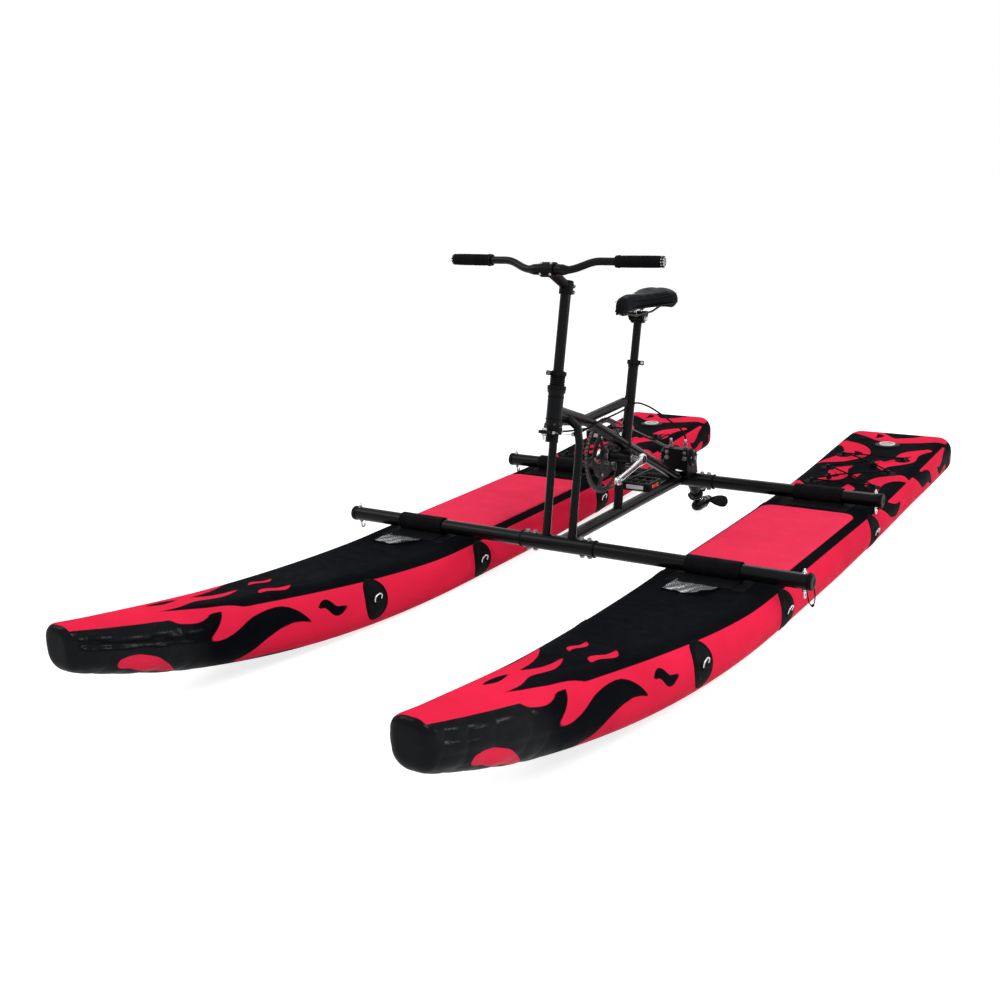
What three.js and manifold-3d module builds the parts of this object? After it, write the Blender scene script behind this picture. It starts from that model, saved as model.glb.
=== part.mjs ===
// A pedal boat on two inflatable pontoons: a bicycle frame on two cross bars, driving a raked propeller leg.
// Lengths are in millimetres. +X is the rider's left, -Y the bow and +Z up, and the floor is at z = 0.
import * as THREE from "three";
import { mergeVertices } from "three/addons/utils/BufferGeometryUtils.js";
import Module from "manifold-3d";

const wasm = await Module();
wasm.setup();

// Clearances
const seat = 0.3;
const overrun = 6;
const mergeTolerance = 0.001;
const degree = Math.PI / 180;

// Counts of sides and steps
const pipeSides = 16;
const slimSides = 10;
const wireSides = 6;
const cornerSteps = 4;
const ringPoints = 4 * (cornerSteps + 1);

// Pontoons
const pontoonLength = 3300;
const pontoonWidth = 415;
const pontoonThickness = 150;
const noseWidth = 140;
const noseRound = 34;
const noseWidthPower = 1.3;
const noseWidthRun = 1450;
const bowFlat = 320;
const bowBottomRise = 215;
const bowBottomPower = 3;
const bowTopRise = 170;
const bowTopPower = 1.6;
const sternFlat = 280;
const sternBottomRise = 60;
const sternBottomPower = 1.2;
const sternTopStart = 780;
const sternTopRise = 45;
const sternTopPower = 1.1;
const sternCorner = 70;
const sternEdge = 40;
const sideRoundShare = 0.94;
const noseStationShares = [0, 0.25, 0.6, 1];
const hullStationShares = [-0.93, -0.86, -0.79, -0.72, -0.64, -0.56, -0.47, -0.38, -0.29];
const sternRunShares = [0.24, 0.53, 0.77];

// Cross bars, their fabric tunnels and hook bolts
const frontBarY = -220;
const barSpacing = 878;
const barDiameter = 45;
const barWall = 2.5;
const barEndThickness = 4;
const frontBarLength = 1590;
const barEndBeyondPontoon = 285;
const pontoonSpacing = frontBarLength - 2 * barEndBeyondPontoon;
const rearBarShorter = 70;
const rearBarLength = frontBarLength - 2 * rearBarShorter;
const barJointGap = 2;
const patchThickness = 6;
const patchLength = 230;
const patchWidth = 150;
const tunnelWall = 3;
const tunnelFoot = 92;
const tunnelLean = 20 * degree;
const hookWire = 6;
const hookInset = 22;
const hookRadius = 8;
const hookDrop = 18;
const hookStickOut = 14;
const hookNutDiameter = 13;
const hookNutHeight = 6;
const hookSweep = 200 * degree;
const hookSteps = 12;
const hookArcParts = 6;
const nutSides = 6;

// Sleeves, beam and legs
const sleeveDiameter = 50;
const sleeveLength = 260;
const beamDiameter = 40;
const legDiameter = 25.4;
const legSpread = 90;
const legTopReach = 65;
const legTopDrop = 83;
const legTipReach = 62;
const legTipDrop = 23;
const legBendShare = 0.97;
const legNeckShare = 0.86;
const legSteps = 8;
const clipDiameter = 12;
const clipLength = 14;
const clipSpread = 54;
const clipReach = 64;
const clipDrop = 76;

// Main frame, placed by reach behind the front bar and height above the floor
const spineDiameter = 34;
const gussetDepth = 60;
const gussetWidth = 36;
const gussetReach = 8;
const gussetHeight = 579;
const spineReach = 8;
const spineHeight = 589;
const spineKneeReach = 188;
const spineKneeHeight = 528;
const spineSlope = -0.508;
const topTubeDiameter = 30;
const topTubeReach = 180;
const topTubeHeight = spineKneeHeight + 5;
const topTubeRise = 9;

// Seat tube, seatpost and saddle
const seatRake = 13.6 * degree;
const seatFootReach = 437;
const seatFootHeight = 354;
const seatTubeLength = 322;
const seatTubeDiameter = 34;
const seatpostDiameter = 27.2;
const seatpostWall = 2.2;
const seatpostInsert = 110;
const seatpostShow = 128;
const seatCollarHeight = 14;
const seatCollarWall = 5;
const seatHeadDiameter = 28;
const seatHeadLength = 44;
const railDiameter = 7;
const railSpread = 44;
const railSpan = 236;
const railFlat = 96;
const cradleLength = 52;
const cradleHeight = 20;
const saddleLength = 292;
const saddleWidth = 152;
const saddleDepth = 48;
const saddleNoseAhead = 135;
const saddleBaseAbove = 34;
const saddleTuckShare = 0.8;
const saddleShares = [
  [0, 0.13, 0.62],
  [0.03, 0.22, 0.8],
  [0.14, 0.27, 0.92],
  [0.34, 0.33, 0.88],
  [0.5, 0.48, 0.85],
  [0.63, 0.72, 0.88],
  [0.76, 0.93, 0.95],
  [0.88, 1, 1],
  [0.96, 0.9, 0.95],
  [1, 0.68, 0.72],
];
const saddlePoints = 9;

// Bottom bracket, cranks and pedals
const bracketReach = 417;
const bracketHeight = 362;
const bracketDiameter = 42;
const bracketLength = 68;
const axleDiameter = 17;
const axleLength = 152;
const lowerPostDiameter = 30;
const lowerPostFootReach = 384;
const crankLength = 172.5;
const crankDrop = 11 * degree;
const crankHubDiameter = 36;
const crankEndDiameter = 26;
const crankThickness = 14;
const crankHoleClearance = 0.4;
const spindleDiameter = 10;
const pedalGap = 26;
const pedalWidth = 96;
const pedalLength = 90;
const pedalHeight = 26;
const pedalRim = 12;
const pedalCore = 24;

// Chain drive
const chainPitch = 12.7;
const frontTeeth = 60;
const rearTeeth = 16;
const chainHeight = 8;
const chainWidth = 7;
const sprocketThickness = 3.4;
const chainLine = 65;
const ringWindowOuter = 108;
const ringWindowInner = 78;
const spiderWindowOuter = 56;
const spiderWindowInner = 26;
const spiderArms = 5;
const ringWindowSpan = 52 * degree;
const spiderWindowSpan = 44 * degree;
const chainringSegments = 40;
const sprocketSegments = 20;
const windowSegments = 4;

// Rear drive unit, placed from the cross shaft
const shaftReach = 875;
const shaftHeight = 262;
const shaftDiameter = 15;
const shaftLength = 132;
const shaftShift = -9;
const cheekThickness = 6;
const cheekSpacing = 80;
const cheekFront = 45;
const cheekBack = 42;
const cheekRound = 30;
const cheekFoot = 62;
const shelfHeight = 38;
const shelfThickness = 4;
const shelfDepth = 37;
const webHeight = 74;
const bossDiameter = 43.4;
const bossLength = 12;
const barrelDiameter = 10;
const barrelHeight = 20;
const barrelSpread = 56;
const barrelAhead = 22;
const crownDiameter = 30;
const crownInner = 16;
const crownFace = 14;
const crownDepth = 7;
const sprocketHubDiameter = 28;
const sprocketHubLength = 14;

// Propeller leg, placed by distance along its axis below the cross shaft
const legRake = 39 * degree;
const yokeDiameter = 68;
const spigotEnd = 58;
const spigotDiameter = 32;
const shaftBore = 12;
const drumDiameter = 56;
const drumWidth = 9;
const sleeveWall = 2;
const legSleeveEnd = 225;
const legTubeStart = 62;
const legTubeWall = 2.5;
const podDistance = 280;
const podDiameter = 44;
const podNose = 58;
const podTail = 50;
const podTailDiameter = 28;
const driveShaftDiameter = 10;
const driveShaftEnd = 244;
const pinionStart = 8.6;
const pinionEnd = 15;
const pinionSlack = 1.6;
const propellerDiameter = 164;
const propellerHubLength = 30;
const propellerNose = 8;
const bladeChord = 46;
const bladeRootChord = 22;
const bladeThickness = 3.5;
const bladePitch = 32 * degree;
const bladeSegments = 6;

// Head, handlepost and handlebar, placed along the steering axis from the foot of the head tube
const headRake = 13.7 * degree;
const headReach = -14;
const headHeight = 549;
const headLength = 109;
const headDiameter = 48;
const headFlare = 55;
const headFlareHeight = 12;
const columnDiameter = 38.6;
const handlepostDiameter = 32;
const handlepostWall = 2.5;
const cupDiameter = 57;
const cupHeight = 12;
const armThickness = 10;
const armHub = 54;
const armReach = 66;
const armTip = 34;
const armDrop = 24;
const spacerRibs = 4;
const spacerRib = 7;
const spacerDiameter = 46;
const spacerWaist = 42;
const collarHeight = 13;
const collarDiameter = 51;
const columnAboveCollar = 2;
const handlepostStart = 62;
const handlepostEnd = 424;
const stemClampDiameter = 42;
const stemClampHeight = 38;
const stemCap = 4;
const stemReach = 109.7;
const stemRise = 21.7;
const stemArmDiameter = 30;
const barClampDiameter = 44;
const barClampWidth = 46;
const barCentreDiameter = 31.8;
const barCentreLength = 84;
const faceplateGap = 3;
const handlebarWidth = 700;
const handlebarTube = 22.2;
const handlebarRise = 23;
const handlebarSweep = 31;
const bendStart = 70;
const bendMiddle = 108;
const bendEnd = 148;
const gripStart = 212;
const gripLength = 130;
const gripDiameter = 34;
const bendSweepShare = 0.38;
const straightSweepShare = 0.58;
const barBendSteps = 12;

// Quick-release levers
const leverPivotDiameter = 11;
const leverLength = 40;
const leverWidth = 9;
const leverTurn = 215 * degree;
const seatLeverTurn = 20 * degree;

// Steering cables, as places behind the front bar and above the floor, hand laid
const cableDiameter = 6;
const cableSteps = 36;
const cableSides = 8;
const leftCableRoute = [
  [27, 71.3, 513],
  [27, 86, 512],
  [24, 113, 510],
  [21.5, 165, 512],
  [21, 227, 518],
  [21, 310, 520],
  [21, 390, 524],
  [21.5, 447, 533],
  [22, 500, 528],
  [23, 570, 504],
  [25, 650, 466],
  [27, 740, 418],
  [28, 812, 379],
  [28, 846, 349],
  [28, 853, 331],
  [28, 853, 320.6],
];
const rightCableRoute = [
  [-27, 71.3, 513],
  [-27, 86, 512],
  [-25, 130, 505],
  [-23, 220, 494],
  [-22, 330, 476],
  [-21.5, 452, 451],
  [-22, 560, 414],
  [-24, 670, 369],
  [-26, 745, 351],
  [-27.5, 805, 352],
  [-28, 840, 347],
  [-28, 853, 333],
  [-28, 853, 320.6],
];

// Colours
const pontoonRed = 0xe0334f;
const anodisedBlack = 0x17181a;
const castBlack = 0x232427;
const fabricBlack = 0x1d1d20;
const rubberBlack = 0x101011;
const silver = 0xc9ccd0;
const steel = 0x8d9196;
const darkPlastic = 0x18191b;

// Shared vector helpers
const vector = (x, y, z) => new THREE.Vector3(x, y, z);
const frameAt = (x, reach, height) => vector(x, frontBarY + reach, height);
const halfTurn = Math.PI;
const quarterTurn = Math.PI / 2;

// Turns a closed geometry into a solid that can be joined and cut.
function solid(geometry) {
  const bare = geometry.clone();
  bare.deleteAttribute("normal");
  bare.deleteAttribute("uv");
  const merged = mergeVertices(bare, mergeTolerance);
  const vertProperties = merged.attributes.position.array;
  const triVerts = new Uint32Array(merged.index.array);
  const made = new wasm.Manifold(new wasm.Mesh({ numProp: 3, vertProperties, triVerts }));
  if (made.volume() >= 0) return made;
  for (let i = 0; i < triVerts.length; i += 3) {
    [triVerts[i + 1], triVerts[i + 2]] = [triVerts[i + 2], triVerts[i + 1]];
  }
  return new wasm.Manifold(new wasm.Mesh({ numProp: 3, vertProperties, triVerts }));
}

// Turns a solid back into a faceted geometry.
function faceted(body) {
  const { vertProperties, triVerts } = body.getMesh();
  const geometry = new THREE.BufferGeometry();
  geometry.setAttribute("position", new THREE.BufferAttribute(new Float32Array(vertProperties), 3));
  geometry.setIndex(new THREE.BufferAttribute(new Uint32Array(triVerts), 1));
  const flat = geometry.toNonIndexed();
  flat.computeVertexNormals();
  return flat;
}

const whole = (geometry) => faceted(solid(geometry));
const join = (...pieces) => faceted(pieces.map(solid).reduce((sum, piece) => sum.add(piece)));
const cut = (base, ...tools) =>
  faceted(tools.map(solid).reduce((rest, tool) => rest.subtract(tool), solid(base)));

// Turns a geometry made along +Y so that it runs from one point to another.
function between(geometry, from, to) {
  const along = to.clone().sub(from).normalize();
  const turn = new THREE.Quaternion().setFromUnitVectors(vector(0, 1, 0), along);
  const middle = from.clone().lerp(to, 1 / 2);
  return geometry.applyQuaternion(turn).translate(middle.x, middle.y, middle.z);
}

// A round bar between two points, tapered where an end diameter is given.
function rod(from, to, diameter, sides = pipeSides, endDiameter = diameter) {
  const length = from.distanceTo(to);
  return between(new THREE.CylinderGeometry(endDiameter / 2, diameter / 2, length, sides), from, to);
}

// The radius at the corners of a hole whose flat sides lie at the bore's true radius.
const holeRadius = (boreDiameter, sides = pipeSides) => boreDiameter / 2 / Math.cos(Math.PI / sides);

// A cutter for a round hole between two points.
const drill = (from, to, boreDiameter, sides = pipeSides) => rod(from, to, 2 * holeRadius(boreDiameter, sides), sides);

// A tube with a bore between two points.
function pipe(from, to, outerDiameter, boreDiameter, sides = pipeSides) {
  const half = from.distanceTo(to) / 2;
  const inner = holeRadius(boreDiameter, sides);
  const profile = [
    new THREE.Vector2(inner, -half),
    new THREE.Vector2(outerDiameter / 2, -half),
    new THREE.Vector2(outerDiameter / 2, half),
    new THREE.Vector2(inner, half),
    new THREE.Vector2(inner, -half),
  ];
  return between(new THREE.LatheGeometry(profile, sides), from, to);
}

// A body turned about +Z from pairs of radius and height, closed by its own last point.
function turned(pairs, sides = pipeSides) {
  const profile = pairs.map(([radius, height]) => new THREE.Vector2(radius, height));
  return new THREE.LatheGeometry(profile, sides).rotateX(quarterTurn);
}

// A box between two opposite corners.
function block(low, high) {
  const size = high.clone().sub(low);
  const middle = low.clone().lerp(high, 1 / 2);
  return new THREE.BoxGeometry(size.x, size.y, size.z).translate(middle.x, middle.y, middle.z);
}

// The corners of a regular outline round the origin.
const circlePoints = (radius, count) =>
  Array.from({ length: count }, (_, i) => {
    const angle = (2 * Math.PI * i) / count;
    return new THREE.Vector2(radius * Math.cos(angle), radius * Math.sin(angle));
  });

// A round section carried along a smooth curve through the points.
function sweep(points, diameter, sides, steps) {
  const section = circlePoints(diameter / 2, sides);
  const extrudePath = new THREE.CatmullRomCurve3(points);
  return new THREE.ExtrudeGeometry(new THREE.Shape(section), { steps, extrudePath, bevelEnabled: false });
}

// A flat outline in the Y-Z plane given thickness along X, with its middle at x.
function plateAcross(shape, thickness, x) {
  const plate = new THREE.ExtrudeGeometry(shape, { depth: thickness, bevelEnabled: false });
  plate.applyMatrix4(new THREE.Matrix4().set(0, 0, 1, x - thickness / 2, 1, 0, 0, 0, 0, 1, 0, 0, 0, 0, 0, 1));
  return plate;
}

// Joins rings of equally many points into one closed body with a fan over each end.
function loft(rings) {
  const count = rings[0].length;
  const centre = (ring) => ring.reduce((sum, p) => sum.add(p), vector(0, 0, 0)).divideScalar(count);
  const points = [...rings.flat(), centre(rings[0]), centre(rings[rings.length - 1])];
  const firstCentre = points.length - 2;
  const lastRing = (rings.length - 1) * count;
  const index = [];
  for (let i = 0; i < count; i += 1) {
    const next = (i + 1) % count;
    for (let ring = 0; ring < lastRing; ring += count) {
      index.push(ring + i, ring + next, ring + count + next);
      index.push(ring + i, ring + count + next, ring + count + i);
    }
    index.push(firstCentre, next, i);
    index.push(firstCentre + 1, lastRing + i, lastRing + next);
  }
  const geometry = new THREE.BufferGeometry().setFromPoints(points);
  geometry.setIndex(index);
  return geometry;
}

const paint = (color, roughness, metalness) => new THREE.MeshStandardMaterial({ color, roughness, metalness });
const anodised = () => paint(anodisedBlack, 0.35, 0.6);
const cast = () => paint(castBlack, 0.5, 0.5);
const bright = () => paint(silver, 0.25, 0.9);
const plain = () => paint(steel, 0.4, 0.8);
const plastic = () => paint(darkPlastic, 0.5, 0);
const rubber = () => paint(rubberBlack, 0.8, 0);

// Adds one named mesh to a group.
function add(group, name, geometry, material) {
  const mesh = new THREE.Mesh(geometry, material);
  mesh.name = name;
  group.add(mesh);
  return mesh;
}

const sides = [
  ["left", 1],
  ["right", -1],
];

// Pontoons: the height of the bottom and top and the half width at a place along the hull.
const hullHalf = pontoonLength / 2;
const riseOf = (rise, run, power) => rise * Math.max(0, run) ** power;

function hullBottom(y) {
  const bow = riseOf(bowBottomRise, (-y - bowFlat) / (hullHalf - bowFlat), bowBottomPower);
  return bow + riseOf(sternBottomRise, (y - sternFlat) / (hullHalf - sternFlat), sternBottomPower);
}

function hullTop(y) {
  const bow = riseOf(bowTopRise, (-y - bowFlat) / (hullHalf - bowFlat), bowTopPower);
  const stern = riseOf(sternTopRise, (y - sternTopStart) / (hullHalf - sternTopStart), sternTopPower);
  return pontoonThickness + bow + stern;
}

function hullHalfWidth(y) {
  const run = Math.min(1, (y + hullHalf) / noseWidthRun);
  const swell = Math.sin(quarterTurn * run) ** noseWidthPower;
  return noseWidth / 2 + ((pontoonWidth - noseWidth) / 2) * swell;
}

// How far a rounded end of the given radius draws in at a distance from its tip.
function endInset(distance, radius) {
  const reach = Math.max(0, 1 - distance / radius);
  return radius * (1 - Math.sqrt(1 - reach * reach));
}

function hullRing(y, narrow, flatten) {
  const bottom = hullBottom(y) + flatten;
  const top = hullTop(y) - flatten;
  const halfHeight = (top - bottom) / 2;
  const halfWidth = hullHalfWidth(y) - narrow;
  const round = Math.min(halfHeight, halfWidth) * sideRoundShare;
  return Array.from({ length: ringPoints }, (_, i) => {
    const corner = Math.floor(i / (cornerSteps + 1));
    const angle = (corner + (i % (cornerSteps + 1)) / cornerSteps) * quarterTurn;
    const outX = (corner === 0 || corner === 3 ? 1 : -1) * (halfWidth - round);
    const outZ = (corner < 2 ? 1 : -1) * (halfHeight - round);
    return vector(outX + round * Math.cos(angle), y, (bottom + top) / 2 + outZ + round * Math.sin(angle));
  });
}

function pontoonGeometry() {
  const nose = noseStationShares.map((share) => [-hullHalf + noseRound * share, endInset(noseRound * share, noseRound)]);
  const bowRings = nose.map(([y, inset]) => hullRing(y, inset, inset));
  const middle = [...hullStationShares.map((share) => share * hullHalf), -bowFlat, sternFlat];
  const after = [(sternFlat + sternTopStart) / 2, sternTopStart];
  after.push(...sternRunShares.map((share) => sternTopStart + share * (hullHalf - sternTopStart)));
  const tail = [...noseStationShares].reverse().map((share) => sternCorner * share);
  const sternRings = tail.map((distance) =>
    hullRing(hullHalf - distance, endInset(distance, sternCorner), endInset(distance, sternEdge)),
  );
  return loft([...bowRings, ...[...middle, ...after].map((y) => hullRing(y, 0, 0)), ...sternRings]);
}

const boat = new THREE.Group();
const hullShape = pontoonGeometry();
sides.forEach(([side, sign]) => {
  const hull = add(boat, `pontoon_${side}`, whole(hullShape), paint(pontoonRed, 0.55, 0));
  hull.position.x = (sign * pontoonSpacing) / 2;
});

// Cross bars in their fabric tunnels
const barHeight = pontoonThickness + seat + patchThickness + tunnelWall + seat + barDiameter / 2;
const barLines = [
  ["front", frontBarY, frontBarLength],
  ["rear", frontBarY + barSpacing, rearBarLength],
];

// The tunnel's section stands on the deck, its own height zero being the deck's top.
function tunnelGeometry() {
  const radius = barDiameter / 2 + seat + tunnelWall;
  const axis = barHeight - pontoonThickness - seat;
  const shape = new THREE.Shape();
  shape.moveTo(-patchWidth / 2, 0);
  shape.lineTo(patchWidth / 2, 0);
  shape.lineTo(patchWidth / 2, patchThickness);
  shape.lineTo(tunnelFoot / 2, patchThickness);
  shape.absarc(0, axis, radius, tunnelLean, halfTurn - tunnelLean, false);
  shape.lineTo(-tunnelFoot / 2, patchThickness);
  shape.lineTo(-patchWidth / 2, patchThickness);
  const bore = new THREE.Path();
  bore.setFromPoints(circlePoints(holeRadius(barDiameter + 2 * seat), pipeSides).map((p) => p.setY(p.y + axis)));
  shape.holes.push(bore);
  return plateAcross(shape, patchLength, 0);
}

function hookGeometry() {
  const top = barDiameter / 2 + hookStickOut;
  const bend = -barDiameter / 2 - hookDrop;
  const arc = Array.from({ length: hookArcParts + 1 }, (_, i) => {
    const angle = halfTurn + (hookSweep * i) / hookArcParts;
    return vector(0, hookRadius + hookRadius * Math.cos(angle), bend + hookRadius * Math.sin(angle));
  });
  const shank = [vector(0, 0, top), vector(0, 0, 0), vector(0, 0, bend + hookDrop / 2)];
  const wire = sweep([...shank, ...arc], hookWire, wireSides, hookSteps);
  const nutFoot = barDiameter / 2 + seat;
  const nut = rod(vector(0, 0, nutFoot), vector(0, 0, nutFoot + hookNutHeight), hookNutDiameter, nutSides);
  return join(wire, nut);
}

barLines.forEach(([end, y, length]) => {
  sides.forEach(([side, sign]) => {
    const tunnel = add(boat, `bar_tunnel_${end}_${side}`, whole(tunnelGeometry()), paint(fabricBlack, 0.9, 0));
    tunnel.position.set((sign * pontoonSpacing) / 2, y, pontoonThickness + seat);
    const hookX = sign * (length / 2 - hookInset);
    const inner = vector((sign * barJointGap) / 2, y, barHeight);
    const outer = vector((sign * length) / 2, y, barHeight);
    const bore = vector(outer.x - sign * barEndThickness, y, barHeight);
    const past = vector(inner.x - sign * overrun, y, barHeight);
    const hookHole = drill(
      vector(hookX, y, barHeight - barDiameter),
      vector(hookX, y, barHeight + barDiameter),
      hookWire + 2 * seat,
      slimSides,
    );
    const bar = cut(rod(inner, outer, barDiameter), drill(past, bore, barDiameter - 2 * barWall), hookHole);
    add(boat, `${end}_bar_${side}`, bar, anodised());
    add(boat, `hook_bolt_${end}_${side}`, hookGeometry(), plain()).position.set(hookX, y, barHeight);
  });
});

// Sleeves that join the bar halves, and the beam between them
const rearBarY = frontBarY + barSpacing;
const sleeveBore = barDiameter + 2 * seat;
const sleeveLine = (y, half) => [vector(-half, y, barHeight), vector(half, y, barHeight)];
const frontSleeve = pipe(...sleeveLine(frontBarY, sleeveLength / 2), sleeveDiameter, sleeveBore);
const rearSleeve = pipe(...sleeveLine(rearBarY, sleeveLength / 2), sleeveDiameter, sleeveBore);
const frontSleeveTool = drill(...sleeveLine(frontBarY, sleeveLength), sleeveDiameter + 2 * seat);
const rearSleeveTool = drill(...sleeveLine(rearBarY, sleeveLength), sleeveDiameter + 2 * seat);
add(boat, "front_sleeve", whole(frontSleeve), anodised());
add(boat, "rear_sleeve", whole(rearSleeve), anodised());

const beamLine = [vector(0, frontBarY, barHeight), vector(0, rearBarY, barHeight)];
add(boat, "keel_beam", cut(rod(...beamLine, beamDiameter), frontSleeveTool, rearSleeveTool), anodised());
const beamTool = drill(...beamLine, beamDiameter + 2 * seat);

// Head tube, in a group that leans back with the steering axis
const headFoot = frameAt(0, headReach, headHeight);
const head = new THREE.Group();
head.position.copy(headFoot);
head.rotation.x = -headRake;
boat.add(head);
const headAxis = vector(0, Math.sin(headRake), Math.cos(headRake));
const alongHead = (distance) => headFoot.clone().addScaledVector(headAxis, distance);

const headBore = columnDiameter + 2 * seat;
const headHole = holeRadius(headBore);
const headTube = turned([
  [headHole, 0],
  [headFlare / 2, 0],
  [headFlare / 2, headFlareHeight / 2],
  [headDiameter / 2, headFlareHeight],
  [headDiameter / 2, headLength - headFlareHeight],
  [headFlare / 2, headLength - headFlareHeight / 2],
  [headFlare / 2, headLength],
  [headHole, headLength],
  [headHole, 0],
]);
add(head, "head_tube", whole(headTube), anodised());
const cup = () => pipe(vector(0, 0, 0), vector(0, 0, cupHeight), cupDiameter, headBore);
add(head, "lower_headset_cup", whole(cup()), anodised()).position.z = -seat - cupHeight;
add(head, "upper_headset_cup", whole(cup()), anodised()).position.z = headLength + seat;

// Steering column with its arm, spacers and collar
const armTop = -2 * seat - cupHeight;
const armFoot = armTop - armThickness;
const armShape = new THREE.Shape();
armShape.absarc(0, 0, armHub / 2, 0, halfTurn, false);
armShape.absarc(0, -armReach + armTip / 2, armTip / 2, halfTurn, 2 * Math.PI, false);
const arm = new THREE.ExtrudeGeometry(armShape, { depth: armThickness, bevelEnabled: false });
arm.translate(0, 0, armFoot);
const spacerFoot = headLength + cupHeight + 2 * seat;
const spacerTop = spacerFoot + spacerRibs * spacerRib;
const collarFoot = spacerTop + seat;
const columnTop = collarFoot + collarHeight + columnAboveCollar;
const columnRod = rod(vector(0, 0, armFoot - armDrop), vector(0, 0, columnTop), columnDiameter);
const columnBore = drill(
  vector(0, 0, armFoot - armDrop - overrun),
  vector(0, 0, columnTop + overrun),
  handlepostDiameter + 2 * seat,
);
const columnBody = join(columnRod, arm);
add(head, "steering_column", cut(columnBody, columnBore), cast());

const ribSteps = Array.from({ length: spacerRibs }, (_, i) => i * spacerRib);
const spacerHole = holeRadius(columnDiameter + 2 * seat);
const spacerProfile = [
  [spacerHole, 0],
  ...ribSteps.flatMap((foot) => [
    [spacerWaist / 2, foot],
    [spacerDiameter / 2, foot + spacerRib / 4],
    [spacerDiameter / 2, foot + (3 * spacerRib) / 4],
  ]),
  [spacerWaist / 2, spacerRibs * spacerRib],
  [spacerHole, spacerRibs * spacerRib],
  [spacerHole, 0],
];
add(head, "headset_spacers", whole(turned(spacerProfile)), cast()).position.z = spacerFoot;

// A split clamp with the ear that carries its lever, pointing along +X before it is turned.
function collarGeometry(outerDiameter, boreDiameter, height) {
  const earReach = outerDiameter / 2 + leverPivotDiameter / 2;
  const ear = block(vector(boreDiameter / 2, -leverWidth / 2, 0), vector(earReach, leverWidth / 2, height));
  const bore = drill(vector(0, 0, -overrun), vector(0, 0, height + overrun), boreDiameter);
  return cut(join(rod(vector(0, 0, 0), vector(0, 0, height), outerDiameter), ear), bore);
}

// The lever's pivot barrel stands beside the ear and its blade lies along the collar.
function leverGeometry(outerDiameter, height) {
  const pivot = vector(outerDiameter / 2 + leverPivotDiameter / 2, leverWidth / 2 + seat + leverPivotDiameter / 2, 0);
  const barrel = rod(pivot, pivot.clone().setZ(height), leverPivotDiameter, slimSides);
  const blade = block(
    vector(pivot.x - leverWidth / 4, pivot.y, height / 4),
    vector(pivot.x + leverWidth / 3, pivot.y + leverLength, (3 * height) / 4),
  );
  return join(barrel, blade);
}

const collar = add(
  head,
  "post_collar",
  collarGeometry(collarDiameter, columnDiameter + 2 * seat, collarHeight),
  cast(),
);
collar.position.z = collarFoot;
collar.rotation.z = leverTurn;
const postLever = add(head, "post_lever", leverGeometry(collarDiameter, collarHeight), plain());
postLever.position.z = collarFoot;
postLever.rotation.z = leverTurn;

// Handlepost and stem
const postLine = [vector(0, 0, handlepostStart), vector(0, 0, handlepostEnd)];
const handlepost = pipe(...postLine, handlepostDiameter, handlepostDiameter - 2 * handlepostWall);
add(head, "handlepost", whole(handlepost), anodised());

const stemTop = handlepostEnd + seat + stemCap;
const stemFoot = stemTop - stemClampHeight;
const barCentre = vector(0, -stemReach, handlepostEnd + stemRise);
const clampLine = (half) => [vector(-half, barCentre.y, barCentre.z), vector(half, barCentre.y, barCentre.z)];
const stemBore = drill(
  vector(0, 0, stemFoot - overrun),
  vector(0, 0, handlepostEnd + seat),
  handlepostDiameter + 2 * seat,
);
const stemArmFoot = vector(0, 0, stemTop - stemArmDiameter / 2);
const stemSolid = join(
  rod(vector(0, 0, stemFoot), vector(0, 0, stemTop), stemClampDiameter),
  rod(stemArmFoot, barCentre, stemArmDiameter, pipeSides, barCentreDiameter),
  rod(...clampLine(barClampWidth / 2), barClampDiameter),
);
const barHole = drill(...clampLine(barClampWidth), barCentreDiameter + 2 * seat);
const frontHalf = block(
  vector(-barClampWidth, barCentre.y - barClampDiameter, barCentre.z - barClampDiameter),
  vector(barClampWidth, barCentre.y + faceplateGap / 2, barCentre.z + barClampDiameter),
);
const rearHalf = block(
  vector(-barClampWidth, barCentre.y - faceplateGap / 2, barCentre.z - barClampDiameter),
  vector(barClampWidth, barCentre.y + barClampDiameter, barCentre.z + barClampDiameter),
);
add(head, "stem", cut(stemSolid, stemBore, barHole, frontHalf), cast());
const faceplate = pipe(...clampLine(barClampWidth / 2), barClampDiameter, barCentreDiameter + 2 * seat);
add(head, "stem_faceplate", cut(faceplate, rearHalf), cast());

// Handlebar and grips, level again in a group of their own
const bars = new THREE.Group();
bars.position.copy(barCentre);
bars.rotation.x = headRake;
head.add(bars);

const barEnd = vector(handlebarWidth / 2, handlebarSweep, handlebarRise);
const straightStart = vector(bendEnd, handlebarSweep * straightSweepShare, handlebarRise);
const onStraight = (x) => straightStart.clone().lerp(barEnd, (x - bendEnd) / (barEnd.x - bendEnd));

function barSide(sign) {
  const mirror = (point) => vector(sign * point.x, point.y, point.z);
  const path = [
    vector(0, 0, 0),
    vector(bendStart, 0, 0),
    vector(bendMiddle, handlebarSweep * bendSweepShare, handlebarRise / 2),
    straightStart,
    onStraight((bendEnd + gripStart) / 2),
  ];
  const bend = sweep(path.map(mirror), handlebarTube, slimSides, barBendSteps);
  const straight = rod(mirror(straightStart), mirror(barEnd), handlebarTube, slimSides);
  return [bend, straight];
}
const barCentreSleeve = rod(
  vector(-barCentreLength / 2, 0, 0),
  vector(barCentreLength / 2, 0, 0),
  barCentreDiameter,
);
add(bars, "handlebar", join(barCentreSleeve, ...barSide(1), ...barSide(-1)), anodised());
sides.forEach(([side, sign]) => {
  const mirror = (point) => vector(sign * point.x, point.y, point.z);
  const line = [mirror(onStraight(gripStart)), mirror(onStraight(gripStart + gripLength))];
  const grip = pipe(...line, gripDiameter, handlebarTube + 2 * seat, slimSides);
  add(bars, `grip_${side}`, whole(grip), rubber());
});

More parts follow.
